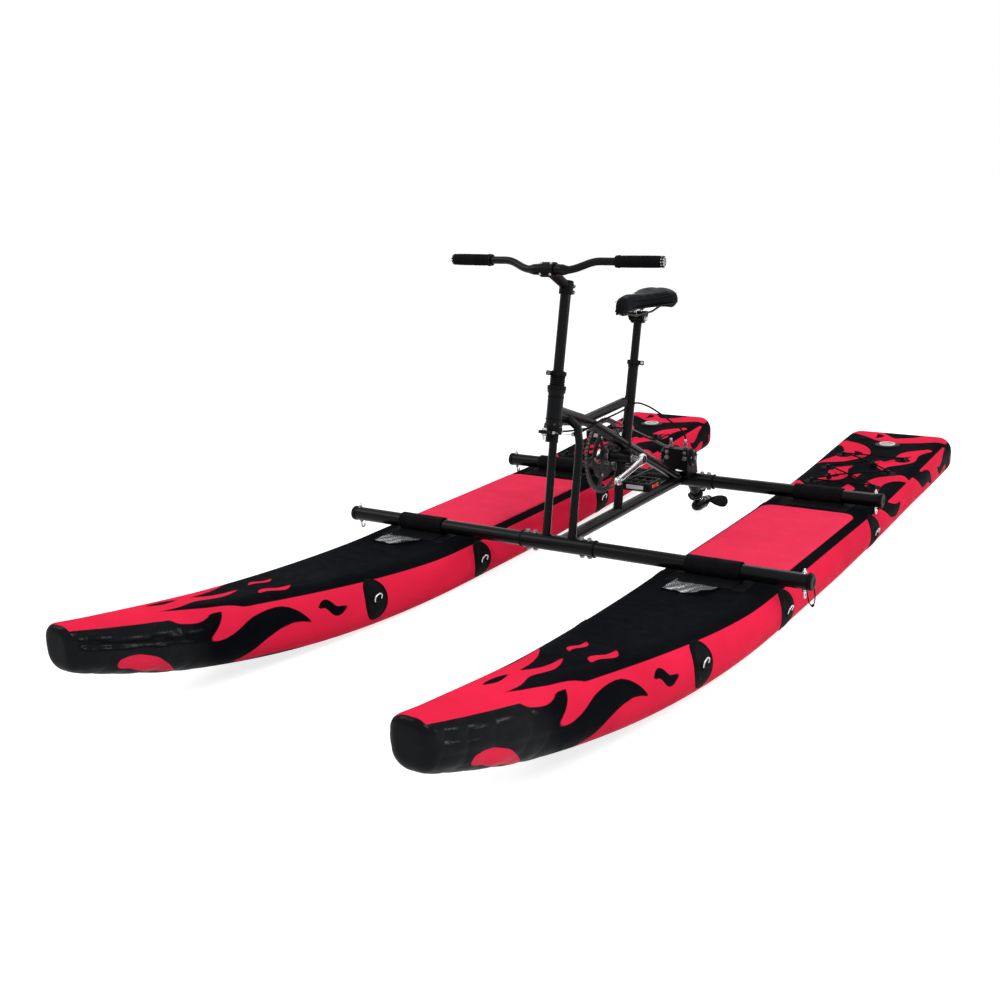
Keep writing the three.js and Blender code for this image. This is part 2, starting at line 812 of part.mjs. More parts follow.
// Seat tube, in a group that leans back with the seatpost
const seatFoot = frameAt(0, seatFootReach, seatFootHeight);
const seatMast = new THREE.Group();
seatMast.position.copy(seatFoot);
seatMast.rotation.x = -seatRake;
boat.add(seatMast);
const seatAxis = vector(0, Math.sin(seatRake), Math.cos(seatRake));
const alongSeat = (distance) => seatFoot.clone().addScaledVector(seatAxis, distance);
const seatTubeBore = seatpostDiameter + 2 * seat;
const seatLine = [alongSeat(0), alongSeat(seatTubeLength)];

const bracketLine = (half) => [frameAt(-half, bracketReach, bracketHeight), frameAt(half, bracketReach, bracketHeight)];
const bracketTool = drill(...bracketLine(bracketLength), bracketDiameter + 2 * seat);
const seatTube = cut(pipe(...seatLine, seatTubeDiameter, seatTubeBore), bracketTool);
add(boat, "seat_tube", seatTube, anodised());
const seatTubeTool = drill(
  alongSeat(-overrun),
  alongSeat(seatTubeLength + overrun),
  seatTubeDiameter + 2 * seat,
);

// Frame spine: a deep gusset behind the head, the main tube and the top tube
const headTool = drill(alongHead(-overrun), alongHead(headLength + overrun), headDiameter + 2 * seat);
const flareTool = drill(alongHead(-overrun), alongHead(headFlareHeight + seat), headFlare + 2 * seat);
const kneeToReach = (reach) => frameAt(0, reach, spineKneeHeight + spineSlope * (reach - spineKneeReach));
const knee = frameAt(0, spineKneeReach, spineKneeHeight);
const gussetFoot = frameAt(0, gussetReach, gussetHeight);
function gussetGeometry(extra) {
  const shape = rod(gussetFoot, knee, gussetDepth + extra, pipeSides, spineDiameter + extra);
  return shape.scale((gussetWidth + extra) / (gussetDepth + extra), 1, 1);
}
const backboneGeometry = (extra) =>
  join(
    gussetGeometry(extra),
    rod(frameAt(0, spineReach, spineHeight), knee, spineDiameter + extra),
    new THREE.SphereGeometry((spineDiameter + extra) / 2, slimSides, slimSides / 2).translate(0, knee.y, knee.z),
  );
const topTube = rod(
  frameAt(0, topTubeReach, topTubeHeight),
  frameAt(0, seatFootReach, topTubeHeight + topTubeRise),
  topTubeDiameter,
);
const mainTube = rod(knee, kneeToReach(seatFootReach), spineDiameter);
add(boat, "frame_spine", cut(join(backboneGeometry(0), topTube, mainTube), headTool, flareTool, seatTubeTool), anodised());

const stay = rod(kneeToReach(seatFootReach + seatTubeDiameter / 4), kneeToReach(barSpacing - sleeveDiameter), spineDiameter);
add(boat, "rear_stay", cut(stay, seatTubeTool, beamTool, rearSleeveTool), anodised());

// Legs from the front sleeve to the gusset, each with the clip that stops a steering cable
sides.forEach(([side, sign]) => {
  const spread = (sign * legSpread) / 2;
  const foot = frameAt(spread, 0, barHeight);
  const shoulder = frameAt(spread, legTopReach, spineHeight - legTopDrop);
  const tip = frameAt(0, legTipReach, spineHeight - legTipDrop);
  const clipHeight = spineHeight - clipDrop;
  const path = [
    foot,
    foot.clone().lerp(shoulder, 1 / 2),
    foot.clone().lerp(shoulder, legBendShare),
    shoulder.clone().lerp(tip, 1 / 2).setX(spread * legNeckShare),
    tip,
  ];
  const clip = rod(
    frameAt((sign * clipSpread) / 2, clipReach - clipLength / 2, clipHeight),
    frameAt((sign * clipSpread) / 2, clipReach + clipLength / 2, clipHeight),
    clipDiameter,
    slimSides,
  );
  const leg = sweep(path, legDiameter, slimSides, legSteps);
  const midTool = block(
    vector(-sign * legDiameter, tip.y - legDiameter * 2, tip.z - legDiameter * 2),
    vector(sign * seat, tip.y + legDiameter * 2, tip.z + legDiameter * 2),
  );
  const trimmed = cut(join(leg, clip), frontSleeveTool, backboneGeometry(2 * seat), midTool);
  add(boat, `leg_${side}`, trimmed, anodised());
});

// Bottom bracket, its shell mitred into the front of the seat tube, and the post down to the beam
const axleBore = axleDiameter + 2 * crankHoleClearance;
add(boat, "bracket_shell", whole(pipe(...bracketLine(bracketLength / 2), bracketDiameter, axleBore)), anodised());
const lowerPost = rod(
  frameAt(0, bracketReach, bracketHeight),
  frameAt(0, lowerPostFootReach, barHeight),
  lowerPostDiameter,
);
add(boat, "lower_post", cut(lowerPost, bracketTool, beamTool), anodised());

// Seatpost, collar, lever and saddle
const collarAt = seatTubeLength - seatCollarHeight;
const seatCollarDiameter = seatTubeDiameter + 2 * seatCollarWall;
const seatCollar = add(
  seatMast,
  "seat_collar",
  collarGeometry(seatCollarDiameter, seatTubeDiameter + 2 * seat, seatCollarHeight),
  cast(),
);
seatCollar.position.z = collarAt;
seatCollar.rotation.z = seatLeverTurn;
const seatLever = add(seatMast, "seat_lever", leverGeometry(seatCollarDiameter, seatCollarHeight), plain());
seatLever.position.z = collarAt;
seatLever.rotation.z = seatLeverTurn;

const seatpostTop = seatTubeLength + seatpostShow;
const seatHeadAt = seatpostTop + seatHeadDiameter / 4;
const postWallBore = seatpostDiameter - 2 * seatpostWall;
const seatpostPipe = pipe(
  vector(0, 0, seatTubeLength - seatpostInsert),
  vector(0, 0, seatpostTop),
  seatpostDiameter,
  postWallBore,
);
const seatHead = rod(
  vector(-seatHeadLength / 2, 0, seatHeadAt),
  vector(seatHeadLength / 2, 0, seatHeadAt),
  seatHeadDiameter,
);
add(seatMast, "seatpost", join(seatpostPipe, seatHead), anodised());

const seatPivot = alongSeat(seatHeadAt);
const saddleBase = seatPivot.z + saddleBaseAbove;
const railHeight = seatPivot.z + seatHeadDiameter / 2 + seat + railDiameter / 2;
const railEnd = saddleBase - seat - railDiameter / 2;
const cradle = cut(
  block(
    vector(-railSpread / 2, seatPivot.y - cradleLength / 2, railHeight - cradleHeight / 2),
    vector(railSpread / 2, seatPivot.y + cradleLength / 2, railHeight + cradleHeight / 3),
  ),
  drill(
    vector(-railSpread, seatPivot.y, seatPivot.z),
    vector(railSpread, seatPivot.y, seatPivot.z),
    seatHeadDiameter + 2 * seat,
  ),
);
const rail = (sign) =>
  sweep(
    [
      vector((sign * railSpread) / 4, seatPivot.y - railSpan / 2, railEnd),
      vector((sign * railSpread) / 2, seatPivot.y - railFlat / 2, railHeight),
      vector((sign * railSpread) / 2, seatPivot.y, railHeight),
      vector((sign * railSpread) / 2, seatPivot.y + railFlat / 2, railHeight),
      vector((sign * railSpread) / 2, seatPivot.y + railSpan / 2, railEnd),
    ],
    railDiameter,
    wireSides,
    slimSides,
  );
add(boat, "saddle_rails", join(cradle, rail(1), rail(-1)), plain());

// The saddle is flat under its shell, crowned above, narrow at the nose and wide at the back.
function saddleRing([along, width, height]) {
  const halfWidth = (saddleWidth / 2) * width;
  const depth = saddleDepth * height;
  const y = seatPivot.y - saddleNoseAhead + saddleLength * along;
  const crown = Array.from({ length: saddlePoints }, (_, i) => {
    const angle = (halfTurn * i) / (saddlePoints - 1);
    const across = Math.sign(Math.cos(angle)) * Math.abs(Math.cos(angle)) ** (2 / 3);
    return vector(halfWidth * across, y, saddleBase + depth / 3 + ((2 * depth) / 3) * Math.sin(angle) ** (2 / 3));
  });
  const tuck = halfWidth * saddleTuckShare;
  return [...crown, vector(-tuck, y, saddleBase), vector(tuck, y, saddleBase)];
}
add(boat, "saddle", whole(loft(saddleShares.map(saddleRing))), rubber());

// Cranks, with the pedal spindle on each
const bracket = frameAt(0, bracketReach, bracketHeight);
const crankWay = vector(0, -Math.cos(crankDrop), -Math.sin(crankDrop));
const pitchDiameter = (teeth) => chainPitch / Math.sin(halfTurn / teeth);
const crankFoot = chainLine + chainWidth / 2 + 2 * seat;
add(boat, "bracket_axle", whole(rod(...bracketLine(axleLength / 2), axleDiameter)), plain());

sides.forEach(([side, sign]) => {
  const end = bracket.clone().addScaledVector(crankWay, sign * crankLength);
  const near = (point, x) => point.clone().setX(sign * x);
  const outline = new THREE.Shape();
  const lean = Math.asin((crankHubDiameter - crankEndDiameter) / 2 / crankLength);
  outline.absarc(0, 0, crankHubDiameter / 2, quarterTurn - lean, -quarterTurn + lean, false);
  outline.absarc(crankLength, 0, crankEndDiameter / 2, -quarterTurn + lean, quarterTurn - lean, false);
  const plate = plateAcross(outline, crankThickness, 0);
  plate.rotateX(sign > 0 ? halfTurn + crankDrop : crankDrop);
  plate.translate(sign * (crankFoot + crankThickness / 2), bracket.y, bracket.z);
  const hole = drill(near(bracket, 0), near(bracket, axleLength / 2 + seat), axleBore);
  const pedalFoot = crankFoot + crankThickness + pedalGap;
  const spindleEnd = pedalFoot + pedalWidth - pedalRim;
  const spindle = rod(near(end, crankFoot + crankThickness / 2), near(end, spindleEnd), spindleDiameter, slimSides);
  add(boat, `crank_${side}`, cut(join(plate, spindle), hole), bright());

  const cage = block(
    vector(0, -pedalLength / 2, -pedalHeight / 2),
    vector(sign * pedalWidth, pedalLength / 2, pedalHeight / 2),
  );
  const window = (ySign) =>
    block(
      vector(sign * pedalRim, (ySign * pedalCore) / 2, -pedalHeight),
      vector(sign * (pedalWidth - pedalRim), ySign * (pedalLength / 2 - pedalRim), pedalHeight),
    );
  const bore = drill(
    vector(-sign * overrun, 0, 0),
    vector(sign * (pedalWidth - pedalRim + seat), 0, 0),
    spindleDiameter + 2 * seat,
    slimSides,
  );
  const pedal = add(boat, `pedal_${side}`, cut(cage, window(1), window(-1), bore), plastic());
  pedal.position.set(sign * pedalFoot, end.y, end.z);
});

// Chainring: an outer ring on five arms, with windows between them
function windowPath(innerRadius, outerRadius, span, turn) {
  const path = new THREE.Path();
  const points = Array.from({ length: windowSegments + 1 }, (_, i) => turn - span / 2 + (span * i) / windowSegments);
  const at = (radius, angle) => new THREE.Vector2(radius * Math.cos(angle), radius * Math.sin(angle));
  path.setFromPoints([
    ...points.map((angle) => at(outerRadius, angle)),
    ...[...points].reverse().map((angle) => at(innerRadius, angle)),
  ]);
  return path;
}
const frontPitch = pitchDiameter(frontTeeth);
const rearPitch = pitchDiameter(rearTeeth);
const toothless = (pitch) => pitch / 2 - chainHeight / 2 - 2 * seat;
const ringShape = new THREE.Shape(circlePoints(toothless(frontPitch), chainringSegments));
Array.from({ length: spiderArms }, (_, i) => (2 * Math.PI * i) / spiderArms).forEach((turn) => {
  ringShape.holes.push(windowPath(ringWindowInner, ringWindowOuter, ringWindowSpan, turn));
  ringShape.holes.push(windowPath(spiderWindowInner, spiderWindowOuter, spiderWindowSpan, turn));
});
ringShape.holes.push(new THREE.Path(circlePoints(holeRadius(axleBore), pipeSides)));
const chainring = plateAcross(ringShape, sprocketThickness, -chainLine);
add(boat, "chainring", whole(chainring.translate(0, bracket.y, bracket.z)), cast());

// Cross shaft with its crown gear, and the rear sprocket on it
const shaft = frameAt(0, shaftReach, shaftHeight);
const onShaft = (x) => shaft.clone().setX(x);
const shaftRod = rod(onShaft(shaftShift - shaftLength / 2), onShaft(shaftShift + shaftLength / 2), shaftDiameter);
const crown = rod(onShaft(crownFace), onShaft(crownFace - crownDepth), crownDiameter, pipeSides, crownInner);
add(boat, "cross_shaft", join(shaftRod, crown), plain());
const sprocketInner = -chainLine + sprocketThickness / 2;
const sprocket = join(
  rod(
    onShaft(-chainLine - sprocketThickness / 2),
    onShaft(sprocketInner),
    2 * toothless(rearPitch),
    sprocketSegments,
  ),
  rod(onShaft(sprocketInner - seat), onShaft(sprocketInner + sprocketHubLength), sprocketHubDiameter),
);
const sprocketBore = drill(onShaft(-chainLine - overrun), onShaft(0), shaftDiameter + 2 * seat);
add(boat, "rear_sprocket", cut(sprocket, sprocketBore), plain());

// Chain: a band along the outline of the two pitch circles and the runs between them
function chainOutline(frontRadius, rearRadius) {
  const way = Math.atan2(shaft.z - bracket.z, shaft.y - bracket.y);
  const distance = Math.hypot(shaft.z - bracket.z, shaft.y - bracket.y);
  const open = Math.acos((frontRadius - rearRadius) / distance);
  const arcAt = (centre, radius, from, to, count) =>
    Array.from({ length: count + 1 }, (_, i) => {
      const angle = way + from + ((to - from) * i) / count;
      return new THREE.Vector2(centre.y + radius * Math.cos(angle), centre.z + radius * Math.sin(angle));
    });
  return [
    ...arcAt(bracket, frontRadius, open, 2 * Math.PI - open, chainringSegments / 2),
    ...arcAt(shaft, rearRadius, -open, open, sprocketSegments / 2),
  ];
}
const chainShape = new THREE.Shape(
  chainOutline(frontPitch / 2 + chainHeight / 2, rearPitch / 2 + chainHeight / 2),
);
chainShape.holes.push(
  new THREE.Path(chainOutline(frontPitch / 2 - chainHeight / 2, rearPitch / 2 - chainHeight / 2)),
);
add(boat, "chain", whole(plateAcross(chainShape, chainWidth, -chainLine)), plain());

// Drive housing: two cheeks on the rear sleeve, a web in front and a shelf with two cable barrels
const cheekShape = new THREE.Shape();
cheekShape.moveTo(-cheekFront, -cheekFoot);
cheekShape.lineTo(cheekBack, -cheekFoot);
cheekShape.absarc(0, 0, cheekRound, 0, quarterTurn, false);
cheekShape.lineTo(-cheekFront + shelfDepth, shelfHeight);
cheekShape.lineTo(-cheekFront, shelfHeight);
const cheekMiddle = (cheekSpacing + cheekThickness) / 2;
const housingHalf = cheekSpacing / 2 + cheekThickness;
const cheekX = [cheekMiddle, -cheekMiddle];
const housingPieces = [
  ...cheekX.map((x) => plateAcross(cheekShape, cheekThickness, x).translate(0, shaft.y, shaft.z)),
  ...cheekX.map((x) => rod(onShaft(x), onShaft(x - Math.sign(x) * (bossLength + cheekThickness / 2)), bossDiameter)),
  block(
    vector(-housingHalf, shaft.y - cheekFront, shaft.z + shelfHeight - webHeight),
    vector(housingHalf, shaft.y - cheekFront + cheekThickness, shaft.z + shelfHeight),
  ),
  block(
    vector(-housingHalf, shaft.y - cheekFront, shaft.z + shelfHeight - shelfThickness),
    vector(housingHalf, shaft.y - cheekFront + shelfDepth, shaft.z + shelfHeight),
  ),
  ...sides.map(([, sign]) => {
    const foot = vector((sign * barrelSpread) / 2, shaft.y - barrelAhead, shaft.z + shelfHeight - shelfThickness);
    const top = foot.clone().setZ(shaft.z + shelfHeight + barrelHeight);
    return rod(foot, top, barrelDiameter, slimSides);
  }),
];
const shaftTool = drill(onShaft(-housingHalf - overrun), onShaft(housingHalf + overrun), shaftDiameter + 2 * seat);
add(boat, "drive_housing", cut(join(...housingPieces), shaftTool, rearSleeveTool), cast());

// Propeller leg, in a group whose -Z runs down the leg
const lowerLeg = new THREE.Group();
lowerLeg.position.copy(shaft);
lowerLeg.rotation.x = legRake;
boat.add(lowerLeg);
const down = (distance) => vector(0, 0, -distance);
const across = (half) => [vector(-half, 0, 0), vector(half, 0, 0)];

const yokeBarrel = pipe(...across(cheekSpacing / 2 - seat), yokeDiameter, bossDiameter + 2 * seat);
const spigotStart = (bossDiameter + yokeDiameter) / 4;
const spigotBore = drill(down(0), down(spigotEnd + overrun), shaftBore, slimSides);
const yoke = cut(join(yokeBarrel, rod(down(spigotStart), down(spigotEnd), spigotDiameter)), spigotBore);
add(lowerLeg, "leg_yoke", yoke, cast());

const drumStart = yokeDiameter / 2 + seat;
const legBore = spigotDiameter + 2 * seat;
const legSleeve = join(
  rod(down(drumStart), down(drumStart + drumWidth), drumDiameter),
  rod(down(drumStart), down(legSleeveEnd), legBore + 2 * sleeveWall),
);
const legSleeveBore = drill(down(0), down(legSleeveEnd + overrun), legBore);
add(lowerLeg, "leg_sleeve", cut(legSleeve, legSleeveBore), anodised());

const podCentre = down(podDistance);
const podRadius = podDiameter / 2;
const podProfile = [
  [0, -podNose],
  [podRadius / 2, -podNose + podRadius / 5],
  [(4 * podRadius) / 5, -podNose + podRadius / 2],
  [podRadius, -podNose + (5 * podRadius) / 4],
  [podRadius, podTail / 2],
  [podTailDiameter / 2, podTail],
  [0, podTail],
];
const pod = turned(podProfile).rotateX(-quarterTurn);
pod.rotateX(-legRake).translate(podCentre.x, podCentre.y, podCentre.z);
const legTube = pipe(down(legTubeStart), podCentre, spigotDiameter, spigotDiameter - 2 * legTubeWall);
const legTubeSolid = solid(legTube).add(solid(pod));
add(lowerLeg, "leg_tube", faceted(legTubeSolid), anodised());

const pinion = rod(
  down(pinionStart),
  down(pinionEnd),
  2 * (pinionStart - pinionSlack),
  pipeSides,
  2 * (pinionEnd - pinionSlack),
);
const driveShaft = join(pinion, rod(down(pinionEnd - seat), down(driveShaftEnd), driveShaftDiameter, slimSides));
add(lowerLeg, "leg_shaft", driveShaft, plain());

// Propeller: a hub with two pitched blades, lying level at rest
const propeller = new THREE.Group();
propeller.position.copy(podCentre);
propeller.rotation.x = -legRake;
lowerLeg.add(propeller);
const hubRadius = podTailDiameter / 2;
const hubStart = podTail + seat;
const hubEnd = hubStart + propellerHubLength;
const hub = turned([
  [0, hubStart],
  [hubRadius, hubStart],
  [hubRadius, hubEnd - propellerNose],
  [hubRadius / 2, hubEnd],
  [0, hubEnd],
]).rotateX(-quarterTurn);
const bladeTip = propellerDiameter / 2;
function bladeGeometry(turn) {
  const outline = new THREE.Shape();
  outline.moveTo(hubRadius / 2, -bladeRootChord / 2);
  outline.lineTo(hubRadius, -bladeRootChord / 2);
  outline.quadraticCurveTo(bladeTip / 2, -bladeChord / 2, bladeTip - bladeChord / 2, -bladeChord / 2);
  outline.absarc(bladeTip - bladeChord / 2, 0, bladeChord / 2, -quarterTurn, quarterTurn, false);
  outline.quadraticCurveTo(bladeTip / 2, bladeChord / 2, hubRadius, bladeRootChord / 2);
  outline.lineTo(hubRadius / 2, bladeRootChord / 2);
  const options = { depth: bladeThickness, bevelEnabled: false, curveSegments: bladeSegments };
  const blade = new THREE.ExtrudeGeometry(outline, options).translate(0, 0, -bladeThickness / 2);
  blade.rotateX(bladePitch).rotateY(turn);
  return blade.translate(0, (hubStart + hubEnd - propellerNose) / 2, 0);
}
add(propeller, "propeller", join(hub, bladeGeometry(0), bladeGeometry(halfTurn)), cast());

// Steering cables from the leg clips to the barrels on the drive housing
function cableGeometry(route) {
  const points = route.map(([x, reach, height]) => frameAt(x, reach, height));
  return whole(sweep(points, cableDiameter, cableSides, cableSteps));
}
add(boat, "steering_cable_left", cableGeometry(leftCableRoute), plastic());
add(boat, "steering_cable_right", cableGeometry(rightCableRoute), plastic());

export default boat;
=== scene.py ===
"""Looks of a pedal boat on two inflatable pontoons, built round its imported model.

Shells are worked out with numpy in millimetres, in the model's own frame (+X the rider's left,
-Y the bow, +Z up), and are written to Blender in metres.
"""

from __future__ import annotations

import logging
import math
from dataclasses import dataclass, field, replace
from enum import Enum

import bmesh
import bpy
import numpy as np
from mathutils import Matrix, Vector


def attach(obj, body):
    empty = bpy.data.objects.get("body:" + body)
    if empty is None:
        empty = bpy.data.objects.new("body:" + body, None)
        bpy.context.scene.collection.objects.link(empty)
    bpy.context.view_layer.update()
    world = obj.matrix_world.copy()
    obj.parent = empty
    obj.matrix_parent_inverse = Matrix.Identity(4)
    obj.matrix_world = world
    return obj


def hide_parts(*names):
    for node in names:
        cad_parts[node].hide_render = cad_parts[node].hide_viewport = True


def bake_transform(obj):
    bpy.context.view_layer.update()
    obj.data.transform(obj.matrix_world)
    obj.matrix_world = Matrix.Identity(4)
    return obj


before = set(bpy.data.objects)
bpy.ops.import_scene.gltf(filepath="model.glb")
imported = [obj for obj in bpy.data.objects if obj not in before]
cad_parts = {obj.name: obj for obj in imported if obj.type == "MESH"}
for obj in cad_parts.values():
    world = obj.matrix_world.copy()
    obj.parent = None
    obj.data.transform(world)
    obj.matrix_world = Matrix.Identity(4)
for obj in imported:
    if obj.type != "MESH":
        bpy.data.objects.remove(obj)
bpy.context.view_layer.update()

LOG = logging.getLogger("water_bike")
Array = np.ndarray
Socket = bpy.types.NodeSocket
Triple = tuple[float, float, float]
MM = 0.001
TAU = 2 * math.pi
FRONT_BAR_Y = -220.0
REAR_BAR_Y = 658.0
BAR_Z = 182.1
PONTOON_X = 510.0
DECK_Z = 150.0
SIDES = (("left", 1.0), ("right", -1.0))
ACROSS, AFT, UP = (1, 0, 0), (0, 1, 0), (0, 0, 1)


def point(x: float, reach: float, height: float) -> Array:
    """A point given by its reach behind the front bar and its height above the floor."""
    return np.array([x, FRONT_BAR_Y + reach, height], float)


def unit(v: Array) -> Array:
    """The same directions with length one."""
    v = np.asarray(v, float)
    return v / np.maximum(np.linalg.norm(v, axis=-1, keepdims=True), 1e-12)


def coords(*parts: float | Array) -> Array:
    """Numbers and arrays side by side, as one row for each point."""
    return np.stack(np.broadcast_arrays(*parts), -1)


# Shells: surfaces worked out as whole arrays, in millimetres.


@dataclass
class Shell:
    """Points in millimetres with the quads, triangles and point values of one surface."""

    points: Array
    quads: Array = field(default_factory=lambda: np.zeros((0, 4), int))
    tris: Array = field(default_factory=lambda: np.zeros((0, 3), int))
    values: dict[str, Array] = field(default_factory=dict)

    def __add__(self, other: "Shell") -> "Shell":
        """Both surfaces in one shell; point values are kept where both have them.

        Args:
            other: The other shell.

        Returns:
            A new shell.
        """
        start = len(self.points)
        shared = set(self.values) & set(other.values)
        return Shell(
            np.vstack([self.points, other.points]),
            np.vstack([self.quads, other.quads + start]),
            np.vstack([self.tris, other.tris + start]),
            {k: np.concatenate([self.values[k], other.values[k]]) for k in shared},
        )

    def moved(self, offset: Array) -> "Shell":
        """The shell shifted by an offset."""
        return replace(self, points=self.points + np.asarray(offset, float))

    def turned(self, axis: Array, angle: float, about: Array = (0.0, 0.0, 0.0)) -> "Shell":
        """The shell turned by an angle in radians round an axis through a point.

        Args:
            axis: The direction of the axis.
            angle: The angle in radians.
            about: A point of the axis.

        Returns:
            A new shell.
        """
        turn = np.array(Matrix.Rotation(angle, 3, Vector(axis)))
        about = np.asarray(about, float)
        return replace(self, points=(self.points - about) @ turn.T + about)

    def mirrored(self) -> "Shell":
        """The shell reflected across the plane X = 0, with its faces turned back outwards."""
        return Shell(
            self.points * [-1, 1, 1], self.quads[:, ::-1], self.tris[:, ::-1], dict(self.values)
        )

    def copies(self, origins: Array, turns: Array | None = None) -> "Shell":
        """One shell of many copies, each turned by its own 3x3 matrix and moved to its origin.

        Args:
            origins: The places of the copies, one row each.
            turns: A matrix for each copy, or None to leave them unturned.

        Returns:
            All copies as one shell.
        """
        count, size = len(origins), len(self.points)
        body = np.broadcast_to(self.points, (count, size, 3))
        if turns is not None:
            body = np.einsum("kij,knj->kni", turns, body)
        points = (body + np.asarray(origins)[:, None]).reshape(-1, 3)
        step = (np.arange(count) * size)[:, None, None]
        return Shell(points, (self.quads + step).reshape(-1, 4), (self.tris + step).reshape(-1, 3))


def joined(shells: list[Shell]) -> Shell:
    """Several shells as one.

    Args:
        shells: The shells, at least one.

    Returns:
        Their points and faces in one shell.
    """
    whole = shells[0]
    for other in shells[1:]:
        whole = whole + other
    return whole


def skin(grid: Array, wrap_rows: bool = False, wrap_columns: bool = True, caps: bool = True) -> Shell:
    """A surface over a grid of points.

    Args:
        grid: Points as rows, columns, 3.
        wrap_rows: Whether the last row joins the first.
        wrap_columns: Whether the last column joins the first.
        caps: Whether each open end row is closed by a fan round its middle.

    Returns:
        The quads between neighbouring points and the fans.
    """
    rows, columns = grid.shape[:2]
    i = np.arange(rows if wrap_rows else rows - 1)[:, None]
    j = np.arange(columns if wrap_columns else columns - 1)[None, :]
    i2, j2 = (i + 1) % rows, (j + 1) % columns
    quads = coords(i * columns + j, i * columns + j2, i2 * columns + j2, i2 * columns + j)
    points = grid.reshape(-1, 3)
    tris = np.zeros((0, 3), int)
    if caps and wrap_columns and not wrap_rows:
        ring = np.arange(columns)
        last = (rows - 1) * columns
        first_middle = len(points)
        points = np.vstack([points, grid[0].mean(0), grid[-1].mean(0)])
        start = coords(first_middle, (ring + 1) % columns, ring)
        end = coords(first_middle + 1, last + ring, last + (ring + 1) % columns)
        tris = np.vstack([start, end])
    return Shell(points, quads.reshape(-1, 4), tris)


def circle(radius: float, sides: int) -> Array:
    """The corners of a regular outline round the origin."""
    angle = np.arange(sides) * TAU / sides
    return radius * coords(np.cos(angle), np.sin(angle))


def rounded_box(width: float, height: float, corner: float, steps: int = 5) -> Array:
    """A rectangle round the origin with its corners drawn as quarter circles.

    Args:
        width: Its size along the first number.
        height: Its size along the second number.
        corner: The radius of its corners.
        steps: Points on each corner.

    Returns:
        The outline, counted round.
    """
    quarter = np.linspace(0, math.pi / 2, steps)
    angle = (quarter[None, :] + np.arange(4)[:, None] * math.pi / 2).ravel()
    x_side = np.repeat([1, -1, -1, 1], steps)
    y_side = np.repeat([1, 1, -1, -1], steps)
    x = x_side * (width / 2 - corner) + corner * np.cos(angle)
    return coords(x, y_side * (height / 2 - corner) + corner * np.sin(angle))


def smooth_path(points: list | Array, steps: int) -> Array:
    """A Catmull-Rom curve through the points, spaced evenly along its length.

    Args:
        points: The places that the curve goes through.
        steps: How many points are returned.

    Returns:
        The evenly spaced points, the first and last being the given ones.
    """
    p = np.asarray(points, float)
    p = np.vstack([2 * p[0] - p[1], p, 2 * p[-1] - p[-2]])
    t = np.linspace(0, 1, 24, endpoint=False)[None, :, None]
    a, b, c, d = p[:-3, None], p[1:-2, None], p[2:-1, None], p[3:, None]
    curve = (
        0.5 * (2 * b + (c - a) * t + (2 * a - 5 * b + 4 * c - d) * t**2 + (3 * b - a - 3 * c + d) * t**3)
    )
    curve = np.vstack([curve.reshape(-1, p.shape[1]), p[-2]])
    run = np.concatenate([[0], np.cumsum(np.linalg.norm(np.diff(curve, axis=0), axis=1))])
    at = np.linspace(0, run[-1], steps)
    return np.stack([np.interp(at, run, curve[:, k]) for k in range(p.shape[1])], -1)


def line(a: Array, b: Array, steps: int = 2) -> Array:
    """Evenly spaced points from a to b."""
    t = np.linspace(0, 1, steps)[:, None]
    return np.asarray(a, float) * (1 - t) + np.asarray(b, float) * t


def sweep(
    path: Array,
    section: Array,
    up: Array = ACROSS,
    closed: bool = False,
    caps: bool = True,
) -> Shell:
    """A section carried along a path: point = path + u * side + v * lift.

    Args:
        path: The places along the path.
        section: The outline as pairs u, v, or one such outline for each place.
        up: A direction that is never along the path; side is the path's direction crossed with it.
        closed: Whether the path ends where it starts.
        caps: Whether open ends are closed.

    Returns:
        The swept surface.
    """
    path = np.asarray(path, float)
    if closed:
        along = unit(np.roll(path, -1, 0) - np.roll(path, 1, 0))
    else:
        along = unit(np.gradient(path, axis=0))
    side = unit(np.cross(along, np.asarray(up, float)))
    lift = np.cross(side, along)
    section = np.broadcast_to(section, (len(path),) + np.shape(section)[-2:])
    grid = path[:, None] + section[..., :1] * side[:, None] + section[..., 1:] * lift[:, None]
    return skin(grid, wrap_rows=closed, caps=caps)


def wire(path: Array, diameter: float, up: Array = ACROSS, sides: int = 12, closed: bool = False) -> Shell:
    """A round wire along a path."""
    return sweep(path, circle(diameter / 2, sides), up, closed)


def lathe(profile: list | Array, foot: Array, axis: Array, sides: int = 48, closed: bool = False) -> Shell:
    """A profile of radius and height turned round an axis from its foot.

    Args:
        profile: Pairs of radius and height; a radius of zero closes the surface there.
        foot: The point of height zero.
        axis: The direction of growing height.
        sides: How many facets go round.
        closed: Whether the profile's last pair joins its first, as on a ring.

    Returns:
        The turned surface.
    """
    profile = np.asarray(profile, float)
    axis = unit(axis)
    across = unit(np.cross(axis, [1, 0, 0] if abs(axis[0]) < 0.9 else [0, 1, 0]))
    beside = np.cross(axis, across)
    ring = circle(1, sides)
    outward = ring[:, :1] * across + ring[:, 1:] * beside
    grid = np.asarray(foot, float) + profile[:, None, 1:] * axis + profile[:, None, :1] * outward[None]
    return skin(grid, wrap_rows=closed, caps=False)


def chamfered(radius: float, length: float, chamfer: float, bore: float = 0.0) -> list:
    """The profile of a round bar with broken edges, with a bore where its radius is given."""
    return [
        (bore, 0.0),
        (radius - chamfer, 0.0),
        (radius - 0.3 * chamfer, 0.3 * chamfer),
        (radius, chamfer),
        (radius, length - chamfer),
        (radius - 0.3 * chamfer, length - 0.3 * chamfer),
        (radius - chamfer, length),
        (bore, length),
    ]


